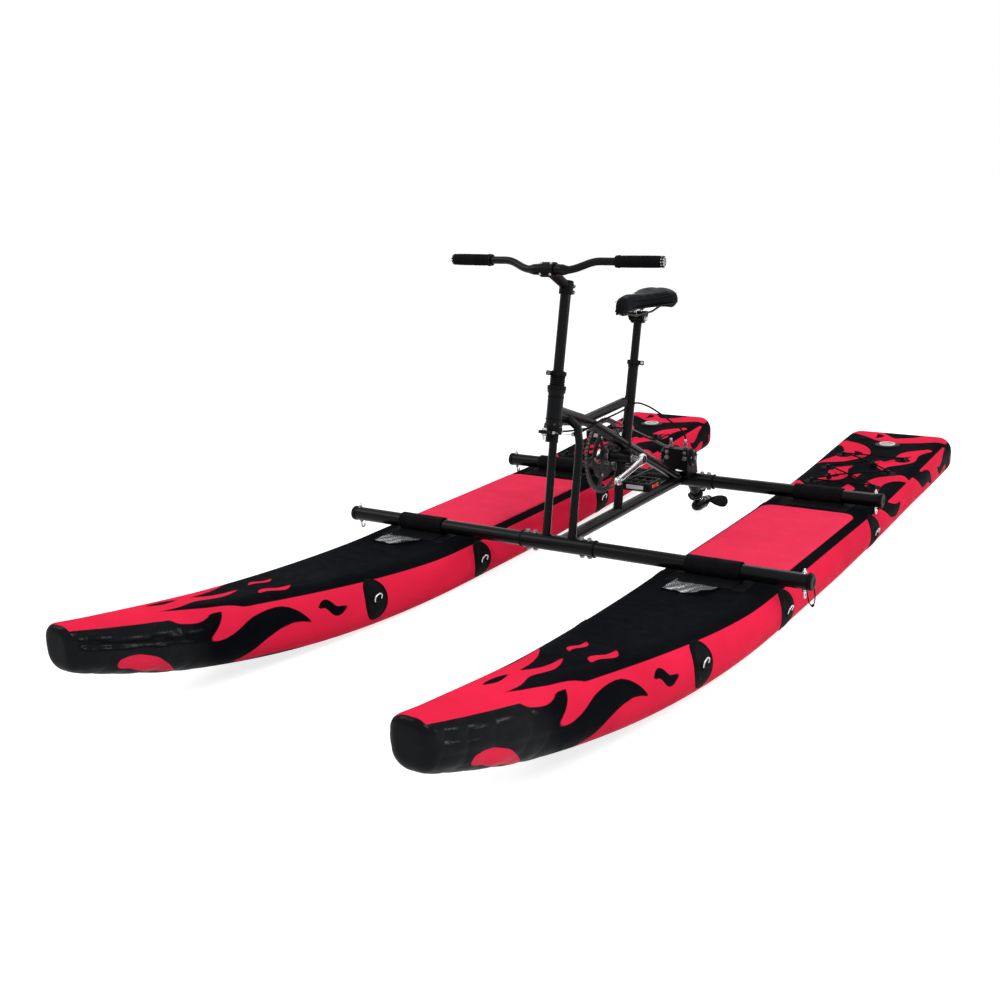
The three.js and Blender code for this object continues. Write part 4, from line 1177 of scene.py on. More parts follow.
    @staticmethod
    def folds(y: Array, s: Array) -> Array:
        """The height of the soft folds in the nose's vinyl: crossing bent waves with narrow valleys.

        Args:
            y: Places along the hull.
            s: Distances round the section.

        Returns:
            The heights, with the same shape.
        """
        height = np.zeros_like(s)
        for turn, pitch, phase, deep in (
            (0.55, 74, 0.4, 1.8), (-0.9, 58, 2.0, 1.0), (1.35, 91, 4.1, 1.6), (0.1, 46, 1.2, 0.4)
        ):
            run = (
                y * math.cos(turn) + s * math.sin(turn) + 13 * np.sin(y / 41 + phase)
                + 10 * np.sin(s / 33 - phase)
            )
            height += deep * (np.abs(np.sin(run / pitch * math.pi)) ** 0.7 - 0.62)
        return height - 0.5

    def patch(
        self,
        y: float,
        s: float,
        along: float,
        round_: float,
        lift: float,
        steps: int = 10,
        corner: float = 0.0,
    ) -> Shell:
        """A flat patch on the skin, with an edge that comes down to it.

        Args:
            y: The patch's middle along the hull.
            s: Its middle round the section.
            along: Half of its length along the hull.
            round_: Half of its width round the section.
            lift: Its thickness.
            steps: Rings from its middle to its edge.
            corner: The radius of its corners, or zero for an oval.

        Returns:
            The patch's surface.
        """
        if corner:
            outline = rounded_box(2 * along, 2 * round_, corner, 7)
            outline = np.concatenate(
                [line(a, b, 13)[:-1] for a, b in zip(outline, np.roll(outline, -1, 0))]
            )
        else:
            outline = circle(1, 72) * [along, round_]
        share = np.concatenate([np.linspace(0.02, 0.93, steps), [0.965, 0.985, 0.995, 1.0, 0.997]])
        height = lift * np.concatenate([np.ones(steps), [0.97, 0.8, 0.5, -0.1, -0.3]])
        at = share[:, None, None] * outline[None]
        points, _ = self.on(y + at[..., 0], s + at[..., 1], np.broadcast_to(height[:, None], at.shape[:2]))
        made = skin(points, caps=False)
        middle = len(made.points)
        made.points = np.vstack([made.points, points[0].mean(0)])
        count = len(outline)
        ring = np.arange(count)
        made.tris = coords(middle, ring, (ring + 1) % count)
        return made


DECK_FLAMES = [
    Stroke(
        [(-1480, -40), (-1400, -54), (-1310, -62), (-1210, -52), (-1110, -66), (-985, -112)],
        [46, 34, 26, 22, 15, 0],
    ),
    Stroke(
        [(-1480, 8), (-1400, 6), (-1320, 14), (-1235, -4), (-1150, 12), (-1050, -6)],
        [40, 30, 24, 20, 13, 0],
    ),
    Stroke(
        [(-1480, 50), (-1410, 62), (-1335, 70), (-1262, 82), (-1190, 92), (-1120, 112)],
        [34, 24, 16, 12, 8, 0],
    )
]
DECK_SPARKS = [
    Stroke([(-1058, 66), (-1014, 50), (-972, 72), (-918, 58)], [0, 15, 13, 0]),
    Stroke([(-1010, -20), (-974, -34), (-940, -20), (-896, -34)], [0, 10, 9, 0]),
]
SIDE_FLAMES = [
    Stroke([(-1440, 34), (-1360, 48), (-1292, 40), (-1242, 10), (-1214, -24)], [46, 38, 27, 17, 6]),
    Stroke(
        [(-1420, 118), (-1310, 136), (-1210, 112), (-1122, 66), (-1030, 48), (-948, 82)],
        [74, 62, 46, 38, 28, 0],
    ),
    Stroke([(-1340, 200), (-1210, 202), (-1090, 184), (-975, 182), (-880, 204)], [38, 32, 20, 13, 0]),
]
SIDE_SPARKS = [
    Stroke([(-930, 50), (-892, 40), (-862, 66), (-812, 56)], [0, 15, 14, 0]),
    Stroke([(752, -6), (806, 26), (866, 44), (926, 28)], [20, 27, 20, 0]),
    Stroke([(1152, -8), (1204, 34), (1272, 42), (1330, 92)], [28, 30, 22, 0]),
    Stroke([(980, 128), (1036, 140), (1096, 124)], [0, 15, 0]),
    Stroke([(1392, 40), (1440, 66), (1500, 44), (1560, 40)], [0, 18, 24, 34]),
]
SIDE_DROPS = [
    Stroke([(-1522, 98), (-1502, 97), (-1474, 103), (-1434, 118), (-1372, 150)], [15, 23, 25, 15, 0]),
]
END_STRIPE = Stroke([(1592, 58), (1598, 88), (1590, 120)], [5, 7, 4])
STERN_FIELDS = [
    Stroke([(1650, -168), (1590, -96), (1520, -10), (1545, 78), (1600, 150)], [60, 44, 34, 36, 52]),
    Stroke([(1440, -176), (1392, -112), (1310, -76), (1222, -104), (1150, -168)], [26, 44, 52, 38, 8]),
    Stroke([(1430, 168), (1352, 118), (1262, 112), (1180, 66), (1112, 84)], [10, 34, 42, 28, 0]),
    Stroke([(1146, -34), (1076, -66), (992, -52), (918, -104)], [0, 34, 36, 6]),
    Stroke([(1064, 168), (1000, 112), (930, 104), (868, 142)], [24, 34, 30, 0]),
    Stroke([(922, 14), (862, 34), (806, 8), (752, 34)], [0, 24, 26, 4]),
    Stroke([(872, -178), (812, -128), (756, -146)], [38, 30, 6]),
    Stroke([(790, 150), (752, 118), (716, 130)], [22, 26, 20]),
    Stroke([(1262, 20), (1222, 36), (1184, 16)], [0, 13, 0]),
    Stroke([(1060, 26), (1022, 10), (984, 30)], [0, 12, 0]),
]
STERN_CUTS = [
    Stroke([(1604, -84), (1566, -60), (1530, -74)], [0, 15, 0]),
    Stroke([(1342, -96), (1300, -64), (1262, -84)], [0, 16, 0]),
    Stroke([(1330, 132), (1292, 112), (1250, 128)], [0, 11, 0]),
    Stroke([(1040, -74), (1006, -52), (970, -68)], [0, 10, 0]),
]


@dataclass
class Pontoon:
    """A pontoon's hull, deck foam, low tapes, ring patches, valve, bungee net and clear pocket."""

    side: str
    sign: float
    hull: Hull = field(default_factory=Hull)
    foam_from: float = -132.0
    foam_to: float = 568.0
    foam_half: float = 160.0
    foam_corner: float = 46.0
    foam_lift: float = 3.2
    ring_places: tuple = ((-705.0, 60.0), (-190.0, 61.0), (618.0, 58.0))
    ring_patch_half: tuple = (46.0, 67.0)
    ring_strap_half: tuple = (35.0, 53.0)
    tape_drop: float = 196.0
    tape_width: float = 26.0
    net_y: tuple = (905.0, 1085.0, 1265.0)
    net_half: float = 112.0
    cord: float = 5.4
    valve_y: float = 1452.0

    @property
    def origin(self) -> Array:
        """The middle of this pontoon."""
        return np.array([self.sign * PONTOON_X, 0, 0])

    def put(
        self,
        shell: Shell,
        name: str,
        finish: Finish,
        slot: str | None = None,
        **more: object
    ) -> bpy.types.Object:
        """Places a piece that is laid out round the hull's own middle."""
        return place(shell.moved(self.origin), f"{name}_{self.side}", finish, "frame", slot, **more)

    def seat_of(self, y: float, s: float, lift: float) -> tuple[Array, Array]:
        """One point on the skin and its normal."""
        points, normals = self.hull.on(np.array([y]), np.array([s]), lift)
        return points[0], normals[0]

    def build(self) -> None:
        """Makes all pieces of the pontoon."""
        self.put(
            self.hull.shell(), "hull", HULL, "pontoon", replaces=(f"pontoon_{self.side}",), merge=False,
            sharp=60,
        )
        self.foam()
        self.tapes()
        for index, (y, drop) in enumerate(self.ring_places):
            for outward in (1, -1):
                self.ring_patch(index, y, drop, outward)
        self.valve()
        self.net()
        self.pocket()

    def foam(self) -> None:
        """The deck foam between the bars."""
        middle, half = (self.foam_from + self.foam_to) / 2, (self.foam_to - self.foam_from) / 2
        pad = self.hull.patch(middle, 0, half, self.foam_half, self.foam_lift, 44, self.foam_corner)
        self.put(pad, "deck_foam", FOAM_RED, None)

    def tapes(self) -> None:
        """The welded tapes low on both sides of the hull."""
        y = np.linspace(-1080, 1490, 220)
        pieces = []
        for outward in (1, -1):
            low = self.hull.deck_edge(y) + self.tape_drop
            across = np.linspace(0, 1, 9)
            lift = 0.9 * np.sin(np.pi * np.clip(across, 0.02, 0.98)) ** 0.35 - 0.25
            s = outward * (low[:, None] + self.tape_width * across[None])
            points, _ = self.hull.on(y[:, None], s, lift[None])
            pieces.append(skin(points, wrap_columns=False))
        self.put(joined(pieces), "rail_tape", PATCH, "pontoon")

    def ring_patch(self, index: int, y: float, drop: float, outward: int) -> None:
        """An oval patch on the side with a webbing loop that holds a bright ring.

        Args:
            index: The patch's number from the bow.
            y: Its place along the hull.
            drop: How far it lies below the edge of the deck's paint.
            outward: The side, 1 towards +X or -1.
        """
        s = outward * (float(self.hull.deck_edge(y)) + drop)
        name = f"ring_patch_{index}{'a' if outward > 0 else 'b'}"
        self.put(self.hull.patch(y, s, *self.ring_patch_half, 1.7), name, PATCH, "tunnel")
        inner = self.hull.patch(y, s, *self.ring_strap_half, 2.3)
        foot, normal = self.seat_of(y, s + outward * 4, 4.6)
        down = unit(np.cross(normal, [0, 1, 0]) * outward)
        angle = np.linspace(0, TAU, 49)[:-1]
        loop = coords(np.cos(angle) * 16, np.sin(angle) * 13)
        loop[:, 1] = np.maximum(loop[:, 1], -9)
        lean = unit(normal * 0.35 + down)
        path = foot + loop[:, :1] * np.array([0, 1.0, 0]) + loop[:, 1:] * lean + lean * 9
        ring = wire(path, 4.6, up=np.cross([0, 1, 0], lean), closed=True)
        self.put(ring, name.replace("patch", "bright"), STEEL, "steel")
        strap_s = s + outward * np.linspace(-16, 20, 15)
        hump = 2.2 + 6.4 * np.exp(-(((strap_s - s - outward * 4) / 7.0) ** 2))
        across = np.linspace(-12, 12, 9)
        top, _ = self.hull.on(y + across[None], strap_s[:, None], hump[:, None])
        low, _ = self.hull.on(y + across[None], strap_s[:, None], hump[:, None] - 1.4)
        band = np.concatenate([top, low[:, ::-1]], 1)
        self.put(inner + skin(band), name.replace("patch", "strap"), WEBBING, "tunnel")

    def valve(self) -> None:
        """The inflation valve: a black collar on the deck round a ribbed white cap."""
        foot, _ = self.seat_of(self.valve_y, 0, 0)
        collar = [(0, -1), (46, -1), (46, 1.5), (42, 3.4), (34, 4.2), (31.5, 3.2), (0, 3.2)]
        self.put(lathe(collar, foot, UP, 72), "valve_collar", PLASTIC, "plastic")
        ribs = 1 + 0.025 * np.sign(np.cos(np.arange(96) * TAU / 96 * 24))
        profile = np.array(
            [(23.0, 2.5), (29.5, 2.5), (29.5, 6.0), (28.5, 7.4), (24, 7.8), (22.8, 6.6), (22.6, 3.4)]
        )
        ring = circle(1, 96)
        radius = np.where(profile[:, :1] > 28, profile[:, :1] * ribs[None], profile[:, :1])
        grid = np.concatenate(
            [radius[..., None] * ring[None], np.broadcast_to(profile[:, 1:, None], (len(profile), 96, 1))],
            -1,
        )
        grip = [
            tube(foot + [-20, 0, 5.6], foot + [20, 0, 5.6], 4.6, sides=20),
            tube(foot + [0, 0, 3.5], foot + [0, 0, 8.0], 11, sides=32),
        ]
        self.put(
            skin(grid + foot, wrap_rows=True, caps=False) + joined(grip), "valve_cap", WHITE, "plastic"
        )
        self.put(
            lathe([(0, 3.1), (22.9, 3.1), (22.9, 4.6), (0, 4.6)], foot, UP, 64), "valve_well", PLASTIC,
            "plastic",
        )

    def net(self) -> None:
        """The bungee net: two laced and two straight cords, their anchors and two cord locks."""
        cords, anchors = [], []
        for flip, rise in ((1, 11.0), (-1, 16.0)):
            spots = []
            for index, y in enumerate(self.net_y):
                s = flip * self.net_half * (1 if index % 2 == 0 else -1)
                spots.append(self.seat_of(y, s, 9.0)[0])
            path = []
            for a, b in zip(spots[:-1], spots[1:]):
                run = line(a, b, 15)
                run[:, 2] += (rise - 9.0) * np.sin(np.linspace(0, math.pi, 15)) ** 0.8
                path.append(run[:-1])
            cords.append(wire(np.vstack(path + [spots[-1][None]]), self.cord, up=UP, sides=10))
        for y in (self.net_y[0], self.net_y[-1]):
            a, b = self.seat_of(y, -self.net_half, 9.0)[0], self.seat_of(y, self.net_half, 9.0)[0]
            run = line(a, b, 21)
            cords.append(wire(run, self.cord, up=UP, sides=10))
        self.put(joined(cords), "bungee", CORD, "rubber")
        hooks = []
        for y in self.net_y:
            for s in (-self.net_half, self.net_half):
                anchors.append(self.hull.patch(y, s, 27, 27, 1.8, 7))
                foot, normal = self.seat_of(y, s, 0)
                hooks.append(
                    lathe(
                        [
                            (0, 1.5), (9, 1.5), (9, 3.0), (6.5, 4.6), (5.4, 8), (6.6, 11.2), (5.2, 12.8),
                            (0, 13.2),
                        ],
                        foot, normal, 28,
                    )
                )
        self.put(joined(anchors), "net_patches", PATCH, "tunnel")
        self.put(joined(hooks), "net_anchors", PLASTIC, "plastic")
        locks = []
        for y, s in (
            (self.net_y[0] + 42, -self.net_half * 0.55), (self.net_y[1] + 60, self.net_half * 0.34)
        ):
            foot, _ = self.seat_of(y, s, 0)
            locks.append(lathe([(0, 3), (7, 3), (9.5, 6), (9.5, 16), (7.5, 19), (0, 20)], foot, UP, 28))
            locks.append(lathe([(0, 19), (4.5, 19), (4.5, 24), (0, 25)], foot, UP, 20))
        self.put(joined(locks), "cord_locks", PLASTIC, "plastic")

    def pocket(self) -> None:
        """A clear vinyl pocket just ahead of the front bar, its loose corner curled up."""
        u, v = np.linspace(0, 1, 41), np.linspace(0, 1, 29)
        x = -92 + 138 * u[:, None]
        y = -378 + 104 * v[None]
        curl = 17 * (np.clip(u[:, None] - 0.5, 0, 1) / 0.5) ** 2 * (1 - v[None]) ** 2
        wave = (
            (1.6 * np.sin(9 * u[:, None] + 4 * v[None]) + 0.9 * np.sin(23 * u[:, None] - 9 * v[None]))
            * (1 - 0.8 * v[None])
        )
        base = self.hull.on(y, x, 0)[0]
        top = base + coords(0, 0, 3.6 + curl + wave)
        low = top - [0, 0, 1.0]
        sheet = np.concatenate([top, low[:, ::-1]], 1)
        self.put(skin(sheet), "clear_pocket", CLEAR, "plastic")
        rows = [top[:, 0], top[-1, :], top[::-1, -1], top[0, ::-1]]
        welts = [wire(row, 3.0, up=UP, sides=8) for row in rows]
        self.put(joined(welts), "pocket_welt", PATCH, "plastic")


# Frames of reference, known places and small parts that several pieces share.


@dataclass(frozen=True)
class Lean:
    """A frame of reference that is tipped back round X, such as the head or the seat mast."""

    foot: Triple
    angle: float

    @property
    def up(self) -> Array:
        """The direction up the post, in the boat's own frame."""
        return self.way(0, 0, 1)

    def way(self, x: float, y: float, z: float) -> Array:
        """A direction of this frame in the boat's own frame."""
        s, c = math.sin(self.angle), math.cos(self.angle)
        return np.array([x, c * y + s * z, c * z - s * y])

    def at(self, x: float, y: float, z: float) -> Array:
        """A point of this frame in the boat's own frame."""
        return np.array(self.foot) + self.way(x, y, z)

    def put(self, shell: Shell) -> Shell:
        """A shell drawn in this frame, carried to the boat's own frame."""
        basis = np.stack([self.way(1, 0, 0), self.way(0, 1, 0), self.way(0, 0, 1)])
        return replace(shell, points=shell.points @ basis + np.array(self.foot))


HEAD = Lean((0.0, FRONT_BAR_Y - 14, 549.0), math.radians(13.7))
MAST = Lean((0.0, FRONT_BAR_Y + 437, 354.0), math.radians(13.6))
SHAFT = point(0, 875, 262)
LEG = Lean(tuple(SHAFT), math.radians(-39))
DRUM_DOWN = 38.9
POD = LEG.at(0, 0, -280)
BRACKET = point(0, 417, 362)
BAR_CENTRE = HEAD.at(0, -109.7, 445.7)
SEAT_PIVOT = MAST.at(0, 0, 457)
KNEE = point(0, 188, 528)
CRANK_DROP = math.radians(11)
CRANK_LENGTH = 172.5
CHAIN_LINE = 65.0
PITCH = 12.7


def frames(tangents: Array, up: Array) -> Array:
    """Turning matrices whose columns are the tangent, the side and the upward direction.

    Args:
        tangents: The directions, one row each.
        up: A direction that is never along them.

    Returns:
        One matrix for each row.
    """
    along = unit(tangents)
    side = unit(np.cross(np.broadcast_to(up, along.shape), along))
    return coords(along, side, np.cross(along, side))


def stitches(path: Array, up: Array, step: float = 6.0, size: float = 1.1) -> Shell:
    """A row of short thread stitches along a path.

    Args:
        path: The places that the row follows.
        up: A direction that is never along the path.
        step: The distance between the stitches.
        size: The thread's thickness.

    Returns:
        All stitches as one shell.
    """
    run = np.linalg.norm(np.diff(path, axis=0), axis=1).sum()
    spots = smooth_path(path, max(4, int(run / step)))
    half = 0.32 * step
    profile = [
        (0, -half), (size * 0.45, -half * 0.85), (size * 0.55, 0), (size * 0.45, half * 0.85), (0, half)
    ]
    stick = lathe(profile, (0, 0, 0), ACROSS, 6)
    return stick.copies(spots, frames(np.gradient(spots, axis=0), up))


def folded(top: Array, thickness: float) -> Shell:
    """A sheet of fabric over a grid of points, with a second face under it.

    Args:
        top: The points of the upper face, as rows and columns.
        thickness: The sheet's thickness.

    Returns:
        The sheet as one closed skin.
    """
    along = unit(np.gradient(top, axis=0))
    across = unit(np.gradient(top, axis=1))
    normal = unit(np.cross(along, across))
    return skin(np.concatenate([top, (top - normal * thickness)[:, ::-1]], 1))


def washer(foot: Array, axis: Array, outer: float, inner: float, thickness: float) -> Shell:
    """A flat washer with broken edges.

    Args:
        foot: The middle of its lower face.
        axis: The direction of its thickness.
        outer: Its diameter.
        inner: The diameter of its hole.
        thickness: Its thickness.

    Returns:
        The washer's surface.
    """
    o, i, c = outer / 2, inner / 2, thickness * 0.25
    profile = [(i, 0), (o - c, 0), (o, c), (o, thickness - c), (o - c, thickness), (i, thickness)]
    return lathe(profile, foot, axis, 40, closed=True)


def hex_bolt(foot: Array, axis: Array, width: float, head: float, washer_width: float = 0.0) -> Shell:
    """A hexagon head on its washer, standing on a surface.

    Args:
        foot: The place on the surface.
        axis: The direction away from it.
        width: The head's width across flats.
        head: Its height.
        washer_width: The washer's diameter, or zero for none.

    Returns:
        The head and its washer.
    """
    axis = unit(axis)
    made = hexagon(np.asarray(foot, float) + axis * (1.4 if washer_width else 0), axis, width, head)
    if washer_width:
        made = made + washer(foot, axis, washer_width, width * 0.5, 1.4)
    return made


# Cross bars: the two bars and what holds them.


@dataclass
class CrossBars:
    """The two cross bars with their tunnels, hook bolts, end plugs, middle sleeves and lanyard."""

    bars: tuple = (("front", FRONT_BAR_Y, 795.0), ("rear", REAR_BAR_Y, 725.0))
    radius: float = 22.5
    hook_inset: float = 22.0
    tunnel_half: float = 115.0
    wrap_half: float = 82.0
    sleeve_bolt_x: tuple = (-108.0, -82.0, 82.0, 108.0)

    def build(self) -> None:
        """Makes all pieces of both bars."""
        for end, y, half in self.bars:
            for side, sign in SIDES:
                dress(f"{end}_bar_{side}", BLACK_ALLOY, 0.8)
                self.plug(end, side, sign, y, half)
                self.hook(end, side, sign * (half - self.hook_inset), y)
                self.tunnel(end, side, sign, y)
            dress(f"{end}_sleeve", BLACK_ALLOY, 1.2)
            self.sleeve_bolts(end, y)
        self.lanyard()

    def plug(self, end: str, side: str, sign: float, y: float, half: float) -> None:
        """The moulded cap over a bar's end.

        Args:
            end: The bar, front or rear.
            side: Its half, left or right.
            sign: 1 on the left and -1 on the right.
            y: The bar's place along the boat.
            half: Half of the bar's length.
        """
        profile = [
            (22.7, -12), (23.9, -11.2), (24.0, 0.5), (23.0, 2.4), (20, 3.2), (9, 3.2), (7, 2.2), (0, 2.0)
        ]
        cap = lathe(profile, (sign * half, y, BAR_Z), (sign, 0, 0), 64)
        place(cap, f"bar_plug_{end}_{side}", PLASTIC, "frame", "plastic")

    def hook(self, end: str, side: str, x: float, y: float) -> None:
        """A hook bolt through the bar, with a nut and washers above and a nut below.

        Args:
            end: The bar, front or rear.
            side: Its half, left or right.
            x: The bolt's place across.
            y: Its place along the boat.
        """
        bend = -self.radius - 18
        angle = np.linspace(math.pi, math.pi + math.radians(200), 26)
        arc = coords(0 * angle, 8 + 8 * np.cos(angle), bend + 8 * np.sin(angle))
        path = np.vstack([line((0, 0, self.radius + 8), (0, 0, bend), 20)[:-1], arc])
        ends = wire(path, 6, up=ACROSS, sides=14)
        z = np.arange(self.radius + 6, self.radius + 13.4, 0.5)
        thread = coords(3.0 - 0.28 * (np.arange(len(z)) % 2), z).tolist()
        stud = lathe(
            [(0, z[0])] + thread + [(2.2, self.radius + 14), (0, self.radius + 14)], (0, 0, 0), UP, 20
        )
        low_thread = np.arange(-self.radius - 15, -self.radius, 0.5)
        grooves = coords(3.08 - 0.26 * (np.arange(len(low_thread)) % 2), low_thread).tolist()
        shank = lathe([(2.4, low_thread[0])] + grooves + [(2.4, low_thread[-1])], (0, 0, 0), UP, 20)
        nuts = hexagon((0, 0, self.radius + 1.6), UP, 10, 5.2)
        nuts = nuts + hexagon((0, 0, -self.radius - 1.6), (0, 0, -1), 10, 5)
        rings = washer((0, 0, self.radius + 0.2), UP, 14, 6.2, 1.4)
        rings = rings + washer((0, 0, -self.radius - 0.2), (0, 0, -1), 14, 6.2, 1.4)
        whole = (ends + stud + shank + nuts + rings).moved((x, y, BAR_Z))
        place(whole, f"hook_{end}_{side}", STEEL, "frame", "steel", replaces=(f"hook_bolt_{end}_{side}",))

    def tunnel(self, end: str, side: str, sign: float, y: float) -> None:
        """The fabric tunnel: a patch on the deck and a sleeve close round the bar, sewn along its feet.

        Args:
            end: The bar, front or rear.
            side: The pontoon's side.
            sign: 1 on the left and -1 on the right.
            y: The bar's place along the boat.
        """
        centre = np.array([sign * PONTOON_X, y, DECK_Z])
        axis, r = BAR_Z - DECK_Z, self.radius + 3.2
        turn = np.linspace(math.radians(-56), math.pi / 2, 30)
        flank = smooth_path(
            [
                (76, 2.3), (60, 2.4), (44, 2.6), (29, 3.0), (19, 4.8),
                (r * math.cos(turn[0]), axis + r * math.sin(turn[0])),
            ],
            20,
        )
        arc = coords(r * np.cos(turn[1:]), axis + r * np.sin(turn[1:]))
        half = np.vstack([flank, arc])
        outline = np.vstack([half, (half * [-1, 1])[-2::-1]])
        x = np.concatenate(
            [
                [-self.wrap_half, -self.wrap_half + 1.2],
                np.linspace(-self.wrap_half + 4, self.wrap_half - 4, 45),
                [self.wrap_half - 1.2, self.wrap_half],
            ]
        )
        rows, columns = np.meshgrid(np.arange(len(outline)), np.arange(len(x)), indexing="ij")
        height = outline[rows, 1]
        side_slack = np.clip((height - 5) / 12, 0, 1) * np.clip((axis + 6 - height) / 12, 0, 1)
        ripple = (
            side_slack
            * (0.9 * np.sin(x[columns] / 9.0 + 0.07 * outline[rows, 0]) + 0.5 * np.sin(x[columns] / 4.1))
        )
        lip = np.where((columns == 0) | (columns == len(x) - 1), -0.8, 0.0)
        grid = coords(
            x[columns], outline[rows, 0] + np.sign(outline[rows, 0]) * (ripple + lip),
            height + lip * (height > 40),
        )
        wrap = folded(grid[::-1], 2.3)
        across = np.linspace(-1, 1, 31)
        pad_x, pad_y = np.meshgrid(across * (self.tunnel_half + 5), np.linspace(-79, 79, 25), indexing="ij")
        pad = coords(pad_x, pad_y, 1.7)
        base = folded(pad, 1.7)
        name = f"tunnel_{end}_{side}"
        place(
            (wrap + base).moved(centre), name, WEBBING, "frame", "tunnel", replaces=(f"bar_{name}",),
            sharp=50,
        )
        rows_of_thread = []
        for off, height in ((70.0, 3.0), (57.0, 3.7)):
            for way in (1, -1):
                path = line(
                    (-self.wrap_half + 5, way * off, height), (self.wrap_half - 5, way * off, height), 30
                )
                rows_of_thread.append(stitches(path, UP, 7))
        place(joined(rows_of_thread).moved(centre), f"seams_{end}_{side}", THREAD, "frame", "tunnel")

    def sleeve_bolts(self, end: str, y: float) -> None:
        """Pinch bolts along the sleeve that joins the bar halves, and its end rings.

        Args:
            end: The bar, front or rear.
            y: Its place along the boat.
        """
        pieces = [washer((sign * 129.6, y, BAR_Z), (-sign, 0, 0), 54, 45.4, 5) for sign in (1, -1)]
        place(joined(pieces), f"sleeve_rings_{end}", CAST_BLACK, "frame", "black_alloy")
        bolts = []
        for x in self.sleeve_bolt_x:
            bolts.append(hex_bolt((x, y, BAR_Z - 24.6), (0, 0, -1), 13, 6, 19))
            bolts.append(
                washer((x, y, BAR_Z + 24.4), UP, 17, 7, 1.6)
                + cap_screw((x, y, BAR_Z + 25.8), UP, 12.6, 6.4)
            )
        place(joined(bolts), f"sleeve_bolts_{end}", GREY_STEEL, "frame", "steel")

    def lanyard(self) -> None:
        """The thin cord loop tied round the left end of the front bar, hanging a little under it."""
        y, x = FRONT_BAR_Y, 786.0
        over = [
            (x + 2 * math.sin(a), y + 25.3 * math.cos(a), BAR_Z + 25.3 * math.sin(a))
            for a in np.linspace(0, math.pi, 9)
        ]
        under = [
            (x + 5, y - 27, BAR_Z - 26), (x + 10, y - 22, BAR_Z - 52), (x + 13, y - 2, BAR_Z - 66),
            (x + 11, y + 20, BAR_Z - 50), (x + 5, y + 27, BAR_Z - 25),
        ]
        closed = over + under
        path = smooth_path(closed + [closed[0]], 110)[:-1]
        knot = lathe(
            [(0, -5), (3.4, -4), (4.2, 0), (3.4, 4), (0, 5)], (x + 12.6, y - 2, BAR_Z - 65), (0, 1, 0.15),
            20,
        )
        place(
            wire(path, 3.2, up=(1, 0, 0.02), sides=10, closed=True) + knot, "lanyard", CORD, "frame",
            "rubber",
        )


# Frame: the welded tubes.


